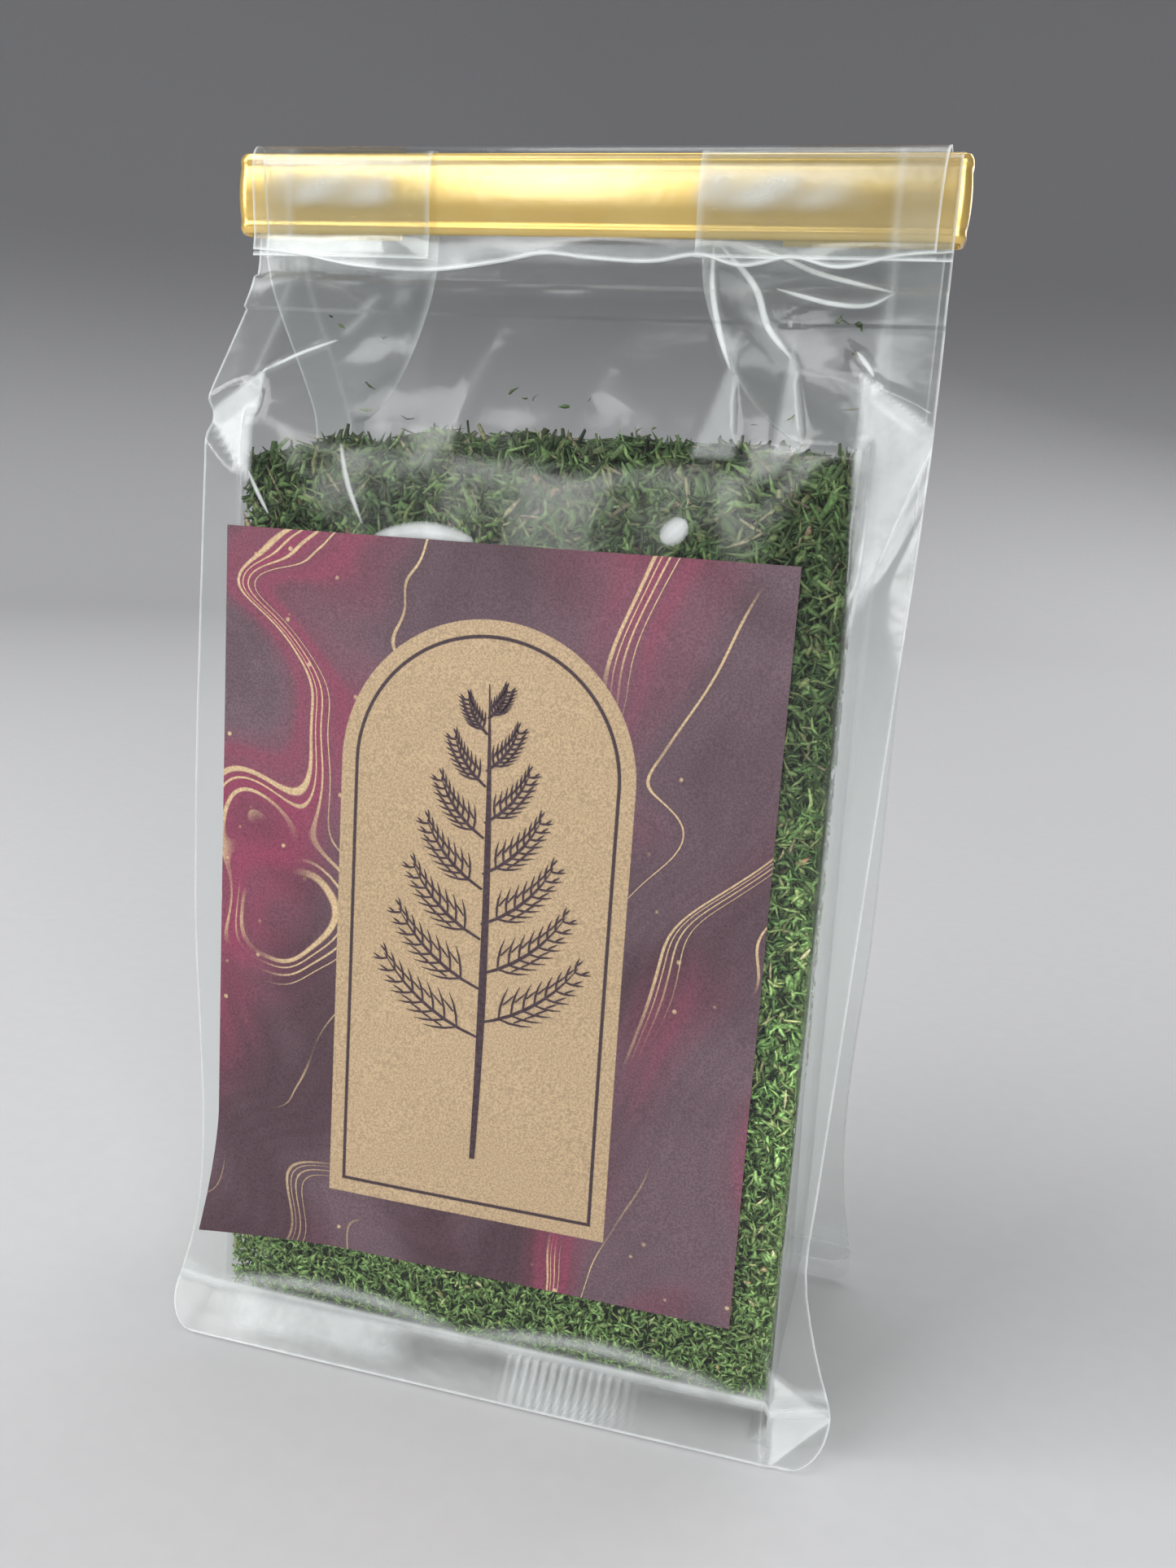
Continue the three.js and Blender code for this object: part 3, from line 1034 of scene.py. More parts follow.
    def outer_edge(self, face: Face, side: Side, length: Array) -> Array:
        """How far out a panel's fin reaches, with the skirt's rounded lower corner.

        Args:
            face: Which panel.
            side: Which side.
            length: Places along the film.

        Returns:
            Places across.
        """
        knots = self.back_edge
        if face is Face.FRONT:
            knots = self.right_front_edge if side is Side.RIGHT else self.left_front_edge
        low = np.clip(1.0 - (length - self.foot) / self.corner_radius, 0.0, 1.0)
        corner = self.corner_radius * (1.0 - np.sqrt(1.0 - low**2))
        return side.value * (through(knots, length) - corner)

    def length_at(self, v: Array, x: Array | None = None) -> Array:
        """Where a row lies along the film, from the skirt's lower edge to the hem.

        Args:
            v: Shares of the rows, 0 to 1.
            x: Places across, for the wavy hem.

        Returns:
            Lengths along the film.
        """
        top, end = self.form.fold_height, self.form.fold_end
        drop = top - (through(self.hem, x) if x is not None else self.tie_bottom)
        stops = (self.foot, self.foot + 0.35, 10.5, 106.0, 119.0, 139.2, top, end)
        shares = (0.0, 0.012, 0.12, 0.26, 0.34, 0.60, 0.67, 0.79)
        flap = np.interp(ramp(v, shares[-1], 1.0), (0.0, 0.95, 1.0), (0.0, 0.97, 1.0))
        return np.interp(v, shares, stops) + flap * drop

    def rumple(self, x: Array, length: Array) -> Array:
        """Slow waves of the loose film.

        Args:
            x: Places across.
            length: Places along the film.

        Returns:
            How far the film lifts.
        """
        wide = np.sin(0.21 * x + 0.9) * np.sin(0.13 * length + 0.4)
        fine = np.sin(0.47 * x - 0.31 * length + 1.7) * np.sin(0.22 * length + 0.16 * x)
        loose = 0.07 + 0.15 * ease(length, 112.0, 127.0)
        return loose * ease(length, 5.0, 14.0) * (wide + 0.6 * fine)

    def free(self, length: Array) -> Array:
        """1 where the film is loose, 0 where the neck is pressed flat."""
        return 1.0 - self.form.closing(length) ** 2

    def plain_depth(self, face: Face, x: Array, length: Array) -> Array:
        """How far from the middle a wide panel's film lies, before its flat spots and creases.

        Args:
            face: Which panel.
            x: Places across.
            length: Places along the film.

        Returns:
            Depths, positive for both panels.
        """
        below = self.skirt_height - length
        skirt = self.skirt_spread * 0.5 * (below + np.sqrt(below**2 + 0.5)) / self.skirt_height
        depth = self.form.panel(x, length) + skirt * ease(-length, -20.0, -8.0)
        shift = 0.0 if face is Face.FRONT else 11.0
        beyond = np.maximum(np.abs(x) - self.form.half_width, 0.0) / 6.0
        right = (x > 0) & (face is Face.FRONT)
        curl = np.where(right, through(self.right_curl, length), through(self.plain_curl, length))
        return depth + self.free(length) * (self.rumple(x + shift, length + shift) - beyond**2 * curl)

    def panel_depth(self, face: Face, x: Array, length: Array) -> Array:
        """Where a wide panel's film lies through the bag, with the front's flat spots and creases.

        Args:
            face: Which panel.
            x: Places across.
            length: Places along the film.

        Returns:
            Depths from the middle of the section.
        """
        depth = self.plain_depth(face, x, length)
        if face is Face.BACK:
            return depth
        for facet in self.facets:
            depth = facet.flatten(depth, x, length, lambda u, v: self.plain_depth(face, u, v))
        lift = sum(crease.height * crease.share(x, length) for crease in self.creases)
        return -(depth + self.free(length) * lift)

    def rib(self, crease: Crease) -> tuple[Array, Array]:
        """The sharp back of one crease: a narrow ribbon on the front panel, drawn to a point at both ends.

        Args:
            crease: The crease.

        Returns:
            Rows of points across the ribbon, in millimetres, and how white each is: a painted highlight,
            partly crease whitening.
        """
        knots = np.array(crease.points)
        run = run_of(knots)
        where = np.linspace(0.0, run[-1], math.ceil(run[-1] / self.rib_step) + 2)
        line = stack(*(through(tuple(zip(run, column)), where) for column in knots.T))
        way = unit(np.gradient(line, axis=0))
        aside = stack(-way[:, 1], way[:, 0])
        taper = 0.06 + np.sqrt(np.clip(1.0 - (2.0 * where / run[-1] - 1.0) ** 2, 0.0, 1.0))
        place = np.linspace(-1.0, 1.0, self.rib_width)
        reach = 0.5 * crease.rib * taper[:, None] * place[None, :]
        x, length = (line[:, None, :] + reach[:, :, None] * aside[:, None, :]).reshape(-1, 2).T
        depth = self.panel_depth(Face.FRONT, x, length) - self.film
        milk_and_glare = crease.rib_milk_and_glare * taper[:, None] * (1.0 - place**2)[None, :]
        return self.form.follow(x, depth, length), milk_and_glare.ravel()

    def ribs(self) -> Piece:
        """Makes the sharp backs of all the creases that have one, white as painted highlights.

        Returns:
            The new piece.
        """
        points, milk_and_glare = zip(*(self.rib(crease) for crease in self.creases if crease.rib))
        piece = add_ribbons("film_crease_highlights", list(points), self.rib_width)
        paint(piece, "haze_and_glare", np.concatenate(milk_and_glare))
        thicken(piece, self.rib_film)
        edit(piece, face_out)
        return smooth_shade(piece, self.shading)

    def flare(self, points: Array) -> Array:
        """Lets the flap follow the tie's crown, and stand off below it in soft waves.

        Args:
            points: The film's points.

        Returns:
            The moved points.
        """
        x, y, z = points.T
        loose = np.clip((self.tie_bottom - z) / 3.0, 0.0, 1.5) ** 1.5
        wave = 0.7 + 0.3 * np.sin(0.17 * x + 0.5) + 0.15 * np.sin(0.43 * x)
        crown = np.clip(1.0 - ((z - self.tie_bottom) / self.crown_height - 1.0) ** 2, 0.0, 1.0)
        flap = (y < self.form.fold_y) & (z > self.form.shoulder + 12.0)
        points[:, 1] = np.where(flap, y - self.flap_flare * loose * wave - self.flap_crown * crown, y)
        return points

    def panel(self, face: Face) -> Piece:
        """Makes one wide panel with its two fins, its skirt and its flap.

        Args:
            face: Which panel.

        Returns:
            The new piece.
        """
        kept: dict[str, Array] = {}

        def shape(u: Array, v: Array) -> Array:
            """Lays the panel's grid out, with narrow columns along its edges.

            Args:
                u: Shares across, 0 to 1.
                v: Shares along, 0 to 1.

            Returns:
                Points, one a row.
            """
            length = self.length_at(v)
            left, right = (self.outer_edge(face, side, length) for side in Side)
            x = mix(left, right, np.interp(u, (0.0, 0.02, 0.98, 1.0), (0.0, 0.006, 0.994, 1.0)))
            length = self.length_at(v, x)
            kept.update(x=x, length=length, edge=np.minimum(x - left, right - x), v=v)
            return self.flare(self.form.follow(x, self.panel_depth(face, x, length), length))

        columns = self.columns if face is Face.FRONT else self.back_columns
        piece = add_sheet(f"film_{face.name.lower()}", columns, self.rows, shape)
        return self.frost(piece, self.panel_haze_and_glare(face, **kept))

    def panel_haze_and_glare(self, face: Face, x: Array, length: Array, edge: Array, v: Array) -> Array:
        """How milky a wide panel is, 0 to 1, with painted glare and highlights counted in.

        Args:
            face: Which panel.
            x: Places across.
            length: Places along the film.
            edge: Distance from the nearest side edge.
            v: Shares of the rows.

        Returns:
            One number a point.
        """
        fold = self.skirt_height
        rim = 0.45 * (1.0 - ease(edge, 0.05, 0.40))
        ends = 0.5 * np.maximum(1.0 - ease(v, 0.002, 0.012), ease(v, 0.985, 0.996))
        seal = 0.035 * (np.abs(x) > self.form.half_width)
        # Painted highlight along the skirt's fold, and a painted reflection in arcs just above it.
        painted_fold_highlight = 0.5 * bell(length, fold, 0.45)
        arcs = np.abs(np.sin(math.pi * (x + 3.0) / 36.0))
        painted_fold_reflection = 0.30 * arcs**0.5 * bell(length, fold + 0.5 + 2.0 * arcs, 0.8)
        frost = 0.34 * window(x, -38.0, -32.0, -15.0, -8.0)
        crimp = 0.30 * window(x, 2.0, 6.0, 15.0, 23.0) * (0.5 + 0.5 * np.sin(5.2 * x))
        skirt = (0.025 + frost * ease(length, 0.8, 3.0) + crimp) * ease(-length, -fold, 0.6 - fold)
        flap = 0.004 * ease(length, 156.0, 159.0) + 0.05 * ease(length, 165.0, 168.0)
        down = length - self.form.fold_end
        # Painted glare: white patches and streaks on the film just below its fold over the tie, left and
        # right.
        glare_places = window(x, -42.0, -34.0, -26.0, -22.0) + window(x, 13.0, 17.0, 22.0, 37.0)
        glare_streaks = 0.75 + 0.25 * np.sin(0.8 * x + 0.9 * down)
        painted_glare = 0.28 * glare_places * window(down, 0.3, 2.0, 3.4, 5.6) * glare_streaks
        haze_and_glare = np.max([rim, ends, seal, painted_fold_highlight, skirt, flap], axis=0) + painted_fold_reflection + painted_glare
        if face is Face.FRONT:
            # Painted glare patches on the facets, and whitening along the creases.
            glare_and_crease_spots = [facet.milk_and_glare * facet.mask(x, length, 0.35) for facet in self.facets]
            glare_and_crease_spots += [crease.milk_and_glare * crease.share(x, length) ** 2.5 for crease in self.creases]
            haze_and_glare = np.max([haze_and_glare, *glare_and_crease_spots], axis=0)
        return haze_and_glare

    def side_section(self, side: Side, u: Array, length: Array) -> tuple[Array, Array]:
        """The gusseted side at a height: out along one fin, in along the fold, and out along the other fin.

        Args:
            side: Which side.
            u: Shares round the section, from the front fin's edge to the back fin's.
            length: Places along the film.

        Returns:
            Places across and through the bag.
        """
        form = self.form
        gap = self.layer_gap + 0.08 * form.closing(length)
        apart = np.abs(u - 0.5)
        flank = ramp(apart, 0.0, 0.5 - self.fin_share)
        out = ramp(apart, 0.5 - self.fin_share, 0.5)
        filled = (1.0 - ease(length, 100.0, 122.0)) * ramp(length, 2.0, 20.0)
        pillow = self.side_pillow * np.sin(math.pi * flank) * filled
        inner = form.half_width - form.gusset(length, side) * (1.0 - flank) + pillow
        inset = 2.0 * (1.0 - ramp(length, 0.3, 2.8)) ** 2
        above_corner = np.maximum(length, self.corner_radius + self.foot)
        above_skirt = np.maximum(length, 7.0)
        sections = []
        for face in Face:
            x = mix(inner, np.abs(self.outer_edge(face, side, above_corner)), out) - inset
            at = side.value * np.maximum(x, form.half_width)
            skin = np.abs(self.panel_depth(face, at, above_skirt)) - gap
            sections.append((side.value * x, face.value * np.maximum(skin, 0.05) * flank))
        front, back = sections
        return np.where(u < 0.5, front[0], back[0]), np.where(u < 0.5, front[1], back[1])

    def gusset(self, side: Side) -> Piece:
        """Makes one gusseted side.

        Args:
            side: Which side.

        Returns:
            The new piece.
        """
        kept: dict[str, Array] = {}

        def shape(u: Array, v: Array) -> Array:
            """Lays the side's grid out.

            Args:
                u: Shares across, 0 to 1.
                v: Shares along, 0 to 1.

            Returns:
                Points, one a row.
            """
            length = self.length_at(v, np.full_like(v, side.value * 30.0))
            length = np.where(length > 160.0, length - 0.8 * ramp(v, 0.79, 1.0), length)
            kept.update(apart=np.abs(u - 0.5), v=v)
            return self.flare(self.form.follow(*self.side_section(side, u, length), length))

        piece = add_sheet(f"film_side_{side.name.lower()}", self.side_columns, self.rows, shape)
        fold = 0.14 * bell(kept["apart"], 0.0, 0.012)
        corner = 0.12 * bell(kept["apart"], 0.5 - self.fin_share, 0.008)
        ends = 0.5 * ease(kept["v"], 0.985, 0.996)
        flap = 0.012 * ease(kept["v"], 0.76, 0.79)
        return self.frost(piece, np.max([fold, corner, ends, flap], axis=0))

    def base(self) -> Piece:
        """Makes the base, which sags between the folds of the skirts.

        Returns:
            The new piece.
        """
        form = self.form

        def shape(u: Array, v: Array) -> Array:
            """Lays the base's grid out.

            Args:
                u: Shares across, 0 to 1.
                v: Shares along, 0 to 1.

            Returns:
                Points, one a row.
            """
            x = (form.half_width - 0.6) * (2.0 * u - 1.0)
            y = (form.base_half_depth - 0.35) * (2.0 * v - 1.0)
            return stack(x, y, form.base_height(x, y))

        piece = add_sheet("film_base", 80, 48, shape)
        return self.frost(piece, np.full(len(piece.data.vertices), 0.015))

    def frost(self, piece: Piece, haze_and_glare: Array) -> Piece:
        """Stores how milky a sheet is, painted glare included, and gives it the film's thickness.

        Args:
            piece: The piece.
            haze_and_glare: One number a point.

        Returns:
            The same sheet.
        """
        paint(piece, "haze_and_glare", haze_and_glare)
        thicken(piece, self.film)
        return smooth_shade(piece, self.shading)

    def build(self, finish: FilmFinish) -> None:
        """Makes and dresses all of the film.

        Args:
            finish: The finish to use.
        """
        material = finish.make()
        sheets = [self.panel(face) for face in Face]
        sheets += [self.gusset(side) for side in Side]
        sheets += [self.base(), self.ribs()]
        for sheet in sheets:
            seat(sheet, material, "film", "bag_film")


# The dill


@dataclass(frozen=True)
class BitKind:
    """One kind of dill bit: how common it is, its sizes in millimetres and its colours."""

    share: float
    length: tuple[float, float]
    width: tuple[float, float]
    flatness: tuple[float, float]
    bend: float
    tints: tuple[Tint, Tint]


@dataclass
class DillFill:
    """The dried dill: a dark core and many thousands of threads, flakes and stalks lying on it.

    Lengths, widths, shades and spreads say how bits change over the heights.
    """

    form: BagForm
    seed: int = 7
    film_room: float = 0.35
    depth: float = 2.4
    core_inset: float = 2.0
    core_shade: float = 0.45
    widest_bit: float = -0.08
    fill_height: float = 119.0
    reach: float = 36.0
    near_film: float = 0.15
    label_margin: float = 3.0
    hidden_share: float = 0.12
    back_scale: float = 1.2
    side_scale: float = 1.1
    heights: tuple[float, ...] = (8.0, 20.0, 45.0, 85.0, 110.0)
    lengths: tuple[float, ...] = (0.52, 0.56, 0.66, 0.95, 1.25)
    widths: tuple[float, ...] = (0.68, 0.72, 0.80, 0.96, 1.12)
    shades: tuple[float, ...] = (1.55, 1.65, 1.95, 0.76, 0.46)
    spreads: tuple[float, ...] = (0.45, 0.55, 1.0, 1.0, 1.0)
    label_box: Box = field(default_factory=lambda: node_box("label"))
    kinds: tuple[BitKind, ...] = (
        BitKind(0.34, (1.6, 3.2), (0.48, 0.82), (0.25, 0.5), 0.20, (Tint.DEEP, Tint.LEAF)),
        BitKind(0.28, (1.5, 3.1), (0.50, 0.90), (0.20, 0.4), 0.20, (Tint.LEAF, Tint.FRESH)),
        BitKind(0.13, (1.1, 2.0), (0.70, 1.15), (0.12, 0.25), 0.12, (Tint.LEAF, Tint.OLIVE)),
        BitKind(0.12, (1.8, 3.6), (0.95, 1.50), (0.07, 0.15), 0.22, (Tint.LEAF, Tint.FRESH)),
        BitKind(0.09, (2.6, 4.6), (0.45, 0.72), (0.3, 0.6), 0.14, (Tint.FRESH, Tint.OLIVE)),
        BitKind(0.028, (2.4, 5.0), (0.45, 0.75), (0.6, 1.0), 0.05, (Tint.OLIVE, Tint.STRAW)),
        BitKind(0.006, (1.5, 3.0), (0.8, 1.4), (0.15, 0.35), 0.08, (Tint.RUST, Tint.STRAW)),
    )
    counts: dict[str, int] = field(
        default_factory=lambda: {
            "front": 19500, "back": 19800, "left": 12500, "right": 14500, "top": 10000, "base": 6000,
        }
    )
    stuck: Knots = (
        (-28.9, 132.2), (-28.3, 132.0), (-28.5, 131.6), (-31.0, 133.5), (35.2, 135.4), (35.8, 134.6),
        (35.5, 133.8), (32.0, 135.0), (34.0, 131.0),
    )
    stray_count: int = 22
    stray_scale: float = 0.42

    def top_height(self, x: Array, y: Array) -> Array:
        """How high the dill reaches at a place.

        Args:
            x: Places across.
            y: Places through the bag.

        Returns:
            Heights.
        """
        slump = 3.0 * (np.abs(x - 8.0) / 40.0) ** 3
        lumps = 0.45 * np.sin(0.5 * x + 0.3 * y) + 0.35 * np.sin(0.9 * x - 0.7 * y + 1.0)
        return self.fill_height - slump + lumps - 0.02 * y

    def side_reach(self, side: Side, share: Array, z: Array) -> Array:
        """How far out the dill may go at a side, for a share of the depth."""
        hollow = 1.6 * ease(share, -0.85, 0.1)
        return self.form.half_width - hollow - self.form.gusset(z, side) * (1.0 - np.abs(share))

    def either_reach(self, x: Array, share: Array, z: Array) -> Array:
        """How far out the dill may go at the side that each place across is nearer to."""
        left, right = (self.side_reach(side, share, z) for side in Side)
        return np.where(x > 0, right, left)

    def thread(self) -> tuple[Array, Faces]:
        """Models one thread along Z: a three-sided spike, thickest a third of the way up.

        Returns:
            Its points, with length and width of 1, and its faces.
        """
        low = self.widest_bit
        bpy.ops.mesh.primitive_cone_add(vertices=3, radius1=0.3, radius2=0.0, depth=1.0)
        spike = bpy.context.active_object
        edit(spike, lambda: bpy.ops.mesh.bisect(plane_co=(0.0, 0.0, low), plane_no=(0.0, 0.0, 1.0)))
        points = read_points(spike.data)
        ring = np.abs(points[:, 2] - low) < 0.01
        points[ring, :2] *= 0.5 / np.linalg.norm(points[ring, :2], axis=1, keepdims=True)
        faces = [tuple(face.vertices) for face in spike.data.polygons]
        bpy.data.objects.remove(spike)
        return points, faces

    def of_kind(self, key: str, kind: Array) -> Array:
        """What each bit's kind says for a key."""
        return np.array([getattr(each, key) for each in self.kinds])[kind]

    def lay(
        self, name: str, roots: Array, normals: Array, room: Array, rng: Chance, scale: float = 1.0
    ) -> Piece:
        """Lays copies of the thread on a surface, as threads, flakes and stalks.

        Args:
            name: The piece's name.
            roots: The middle of each bit, in millimetres.
            normals: Which way is out at each bit.
            room: How far each bit's ends may stand out.
            rng: The source of chance.
            scale: How large the bits are, against the usual.

        Returns:
            One piece with all the bits.
        """
        points, faces = self.thread()
        count, z = len(roots), roots[:, 2]
        share = np.array([kind.share for kind in self.kinds])
        kind = rng.choice(len(self.kinds), count, p=share / share.sum())
        pairs = (self.of_kind(key, kind) for key in ("length", "width", "flatness"))
        length, width, flatness = (rng.uniform(pair[:, 0], pair[:, 1]) for pair in pairs)
        length *= scale * np.interp(z, self.heights, self.lengths)
        width *= scale * np.interp(z, self.heights, self.widths)
        bend = self.of_kind("bend", kind) * rng.normal(0.0, 1.0, count)
        lean = np.where(np.abs(normals[:, 2:3]) < 0.7, [[0.0, 0.0, 1.0]], [[1.0, 0.0, 0.0]])
        first = unit(np.cross(normals, lean))
        second = np.cross(normals, first)
        angle = rng.uniform(0.0, 2.0 * math.pi, count)[:, None]
        limit = np.maximum(room - 0.3 * width, 0.02) / (0.5 * length)
        rise = np.clip(rng.normal(0.0, 0.18, count), -0.7, limit)[:, None]
        along = unit(np.cos(angle) * first + np.sin(angle) * second + rise * normals)
        sideways = unit(np.cross(normals, along))
        upward = np.cross(along, sideways)
        roll = rng.normal(0.0, 0.5, count)[:, None]
        axes = (
            width[:, None] * (np.cos(roll) * sideways + np.sin(roll) * upward),
            (width * flatness)[:, None] * (np.cos(roll) * upward - np.sin(roll) * sideways),
            length[:, None] * along,
        )
        placed = roots[:, None, :] + np.tensordot(points, np.stack(axes), axes=1).swapaxes(0, 1)
        curl = (4.0 * points[:, 2] ** 2)[None, :, None] * (bend * length)[:, None, None]
        placed = self.press(placed + curl * sideways[:, None, :])
        starts = range(0, count * len(points), len(points))
        copies = [tuple(start + corner for corner in face) for start in starts for face in faces]
        piece = add_mesh(name, placed.reshape(-1, 3), copies, flat=False)
        spread = np.interp(z, self.heights, self.spreads)
        # Painted shade: bits that lie deeper under the film are darkened. The shades by height make the
        # fill darker near its top and paler lower down.
        painted_depth_shade = mix(1.0, mix(1.2, 0.42, ramp(room, 0.2, 2.2)), spread)
        shade = np.repeat(painted_depth_shade * np.interp(z, self.heights, self.shades), len(points))
        paint(piece, "tint", self.colours(kind, points, spread, rng) * shade[:, None])
        return piece

    def press(self, placed: Array) -> Array:
        """Presses what would stick through the film back to its inside.

        Args:
            placed: The points of every bit.

        Returns:
            The pressed points.
        """
        x, y, z = np.moveaxis(placed, 2, 0)
        room, form = self.film_room / 2, self.form
        z = np.maximum(z, form.base_height(x, y) + room)
        middle = form.middle(z, x)
        half = np.maximum(form.panel(x, z) - room, 0.1)
        y = np.clip(y, middle - half, middle + half)
        share = np.clip((y - middle) / half, -1.0, 1.0)
        left, right = (self.side_reach(side, share, z) - room for side in Side)
        return np.stack([np.maximum(np.minimum(x, right), -left), y, z], axis=2)

    def colours(self, kind: Array, points: Array, spread: Array, rng: Chance) -> Array:
        """A colour for every point: each bit has its own, a little paler to its tip.

        Args:
            kind: Each bit's kind.
            points: The thread's points.
            spread: How far each bit's colour may be from the mean colour.
            rng: The source of chance.

        Returns:
            Colours, one a row.
        """
        tints = np.array([[tint.value for tint in each.tints] for each in self.kinds])
        low, high = np.moveaxis(tints[kind], 1, 0)
        own = mix(low, high, rng.random((len(kind), 1))) * rng.uniform(0.45, 1.5, (len(kind), 1))
        own = mix(own.mean(axis=0), own, spread[:, None])
        tip = 1.0 + 0.35 * points[:, 2]
        return (own[:, None, :] * tip[None, :, None]).reshape(-1, 3)

    def insets(self, count: int, rng: Chance) -> Array:
        """How deep under the film each bit lies, most of them near it."""
        return self.film_room + self.depth * rng.random(count) ** 1.3

    def wide_face(self, face: Face, rng: Chance) -> Piece:
        """Lays the bits behind a wide panel, fewer where the label hides them.

        Args:
            face: Which panel.
            rng: The source of chance.

        Returns:
            The new piece.
        """
        name = face.name.lower()
        count = self.counts[name]
        x = rng.uniform(-36.4, 36.4, 3 * count)
        z = rng.uniform(self.form.base_rise + 0.6, 121.0, 3 * count)
        low, high = self.label_box[0] + self.label_margin, self.label_box[1] - self.label_margin
        hidden = (x > low[0]) & (x < high[0]) & (z > low[2]) & (z < high[2])
        chance = np.where(hidden & (face is Face.FRONT), self.hidden_share, 1.0)
        keep = (rng.random(3 * count) < chance) & (z < self.top_height(x, face.value * 16.0))
        x, z = x[keep][:count], z[keep][:count]
        inset = self.insets(len(x), rng)
        y = face.value * (self.form.panel(x, z) - inset)
        normals = np.tile([0.0, face.value, 0.0], (len(x), 1))
        scale = 1.0 if face is Face.FRONT else self.back_scale
        return self.lay(f"dill_{name}", stack(x, y, z), normals, inset - self.near_film, rng, scale)

    def narrow_face(self, side: Side, rng: Chance) -> Piece:
        """Lays the bits behind a gusseted side.

        Args:
            side: Which side.
            rng: The source of chance.

        Returns:
            The new piece.
        """
        name = side.name.lower()
        count = self.counts[name]
        share = rng.uniform(-0.97, 0.97, 2 * count)
        z = rng.uniform(1.2, 120.0, 2 * count)
        keep = z < self.top_height(np.full_like(z, side.value * 33.0), 16.0 * share)
        keep &= z > self.form.base_height(np.full_like(z, self.form.half_width), 19.6 * share) + 0.5
        share, z = share[keep][:count], z[keep][:count]
        inset = self.insets(len(z), rng)
        half = self.form.half_depth(z)
        tilt = np.arctan2(self.form.gusset(z, side), half)
        x = side.value * (self.side_reach(side, share, z) - inset / np.cos(tilt))
        y = share * np.minimum(half - 0.6, 19.0)
        out = stack(side.value * np.cos(tilt), -np.sign(share) * np.sin(tilt), np.zeros_like(z))
        return self.lay(f"dill_{name}", stack(x, y, z), out, inset - self.near_film, rng, self.side_scale)

    def top_face(self, rng: Chance) -> Piece:
        """Lays the loose bits on top.

        Args:
            rng: The source of chance.

        Returns:
            The new piece.
        """
        count = self.counts["top"]
        x = rng.uniform(-self.reach, self.reach, 2 * count)
        share = rng.uniform(-0.97, 0.97, 2 * count)
        z = self.top_height(x, 16.0 * share)
        keep = np.abs(x) < self.either_reach(x, share, z) - 0.8
        x, share, z = x[keep][:count], share[keep][:count], z[keep][:count]
        y = share * (self.form.half_depth(z, x) - 0.5)
        inset = 2.6 * rng.random(len(x)) - 0.5
        normals = np.tile([0.0, 0.0, 1.0], (len(x), 1))
        return self.lay("dill_top", stack(x, y, z - inset), normals, np.full(len(x), 0.55), rng)

    def base_face(self, rng: Chance) -> Piece:
        """Lays the bits on the base's film.

        Args:
            rng: The source of chance.

        Returns:
            The new piece.
        """
        count = self.counts["base"]
        x = rng.uniform(-self.reach, self.reach, count)
        y = rng.uniform(-19.4, 19.4, count)
        inset = 0.4 + 1.6 * rng.random(count)
        normals = unit(stack(np.zeros(count), 0.28 * np.sign(y), np.full(count, -1.0)))
        z = self.form.base_height(x, y) + inset
        return self.lay("dill_base", stack(x, y, z), normals, inset - 0.25, rng)

    def core(self) -> Piece:
        """Makes the dark mass under the bits: dill in a darkened tint, painted shade for the gaps between
        them.

        Returns:
            The new piece.
        """
        form, inset = self.form, self.core_inset

        def shape(u: Array, v: Array) -> Array:
            """Wraps the grid round the bag's section, with both ends drawn in.

            Args:
                u: Shares across, 0 to 1.
                v: Shares along, 0 to 1.

            Returns:
                Points, one a row.
            """
            turn = 2.0 * math.pi * u
            square = (np.abs(np.cos(turn)) ** 8 + np.abs(np.sin(turn)) ** 8) ** 0.125
            across, depth = np.cos(turn) / square, np.sin(turn) / square
            z = mix(inset, 117.0, ramp(v, 0.06, 0.94))
            drawn = np.minimum(ramp(v, 0.0, 0.06), 1.0 - ramp(v, 0.94, 1.0))
            half = form.half_depth(z, self.reach * across) - inset
            x = across * (self.either_reach(across, depth, z) - inset - 0.5)
            lump = 0.35 * np.sin(0.9 * x + 0.8 * z) * np.sin(0.7 * z - 0.5 * depth * half)
            x, y = x * drawn, depth * (half + lump) * drawn
            z = np.minimum(z, self.top_height(x, y) - 1.6)
            return stack(x, y, np.maximum(z, form.base_height(x, y) + 1.2))

        piece = add_sheet("dill_core", 96, 80, shape)
        close_tube(piece)
        # Painted shade: the core takes the deep green darkened, so the gaps between bits look shadowed.
        dark = np.array(Tint.DEEP.value) * self.core_shade
        paint(piece, "tint", np.tile(dark, (len(piece.data.vertices), 1)))
        return smooth_shade(piece, 60.0)

    def strays(self, rng: Chance) -> Piece:
        """Sticks a few bits to the inside of the film above the fill.

        Args:
            rng: The source of chance.

        Returns:
            The new piece.
        """
        places = rng.uniform((-34.0, 121.0), (34.0, 126.0), (self.stray_count, 2))
        places[: len(self.stuck)] = self.stuck
        x, z = places.T
        face = np.where(rng.random(len(x)) < 0.7, -1.0, 1.0)
        y = self.form.middle(z, x) + face * (self.form.half_depth(z, x) - self.film_room)
        normals = unit(stack(np.zeros_like(x), face, np.full_like(x, 0.85)))
        roots = stack(x, y, z) - 0.3 * normals
        return self.lay("dill_strays", roots, normals, np.full(len(x), 0.05), rng, self.stray_scale)

    def build(self, finish: DillFinish) -> None:
        """Makes and dresses all of the dill.

        Args:
            finish: The finish to use.
        """
        material = finish.make()
        rng = np.random.default_rng(self.seed)
        heaps = [self.core()]
        heaps += [self.wide_face(face, rng) for face in Face]
        heaps += [self.narrow_face(side, rng) for side in Side]
        heaps += [self.top_face(rng), self.base_face(rng), self.strays(rng)]
        for heap in heaps:
            seat(heap, material, "dill", "dill_fill")


# The label


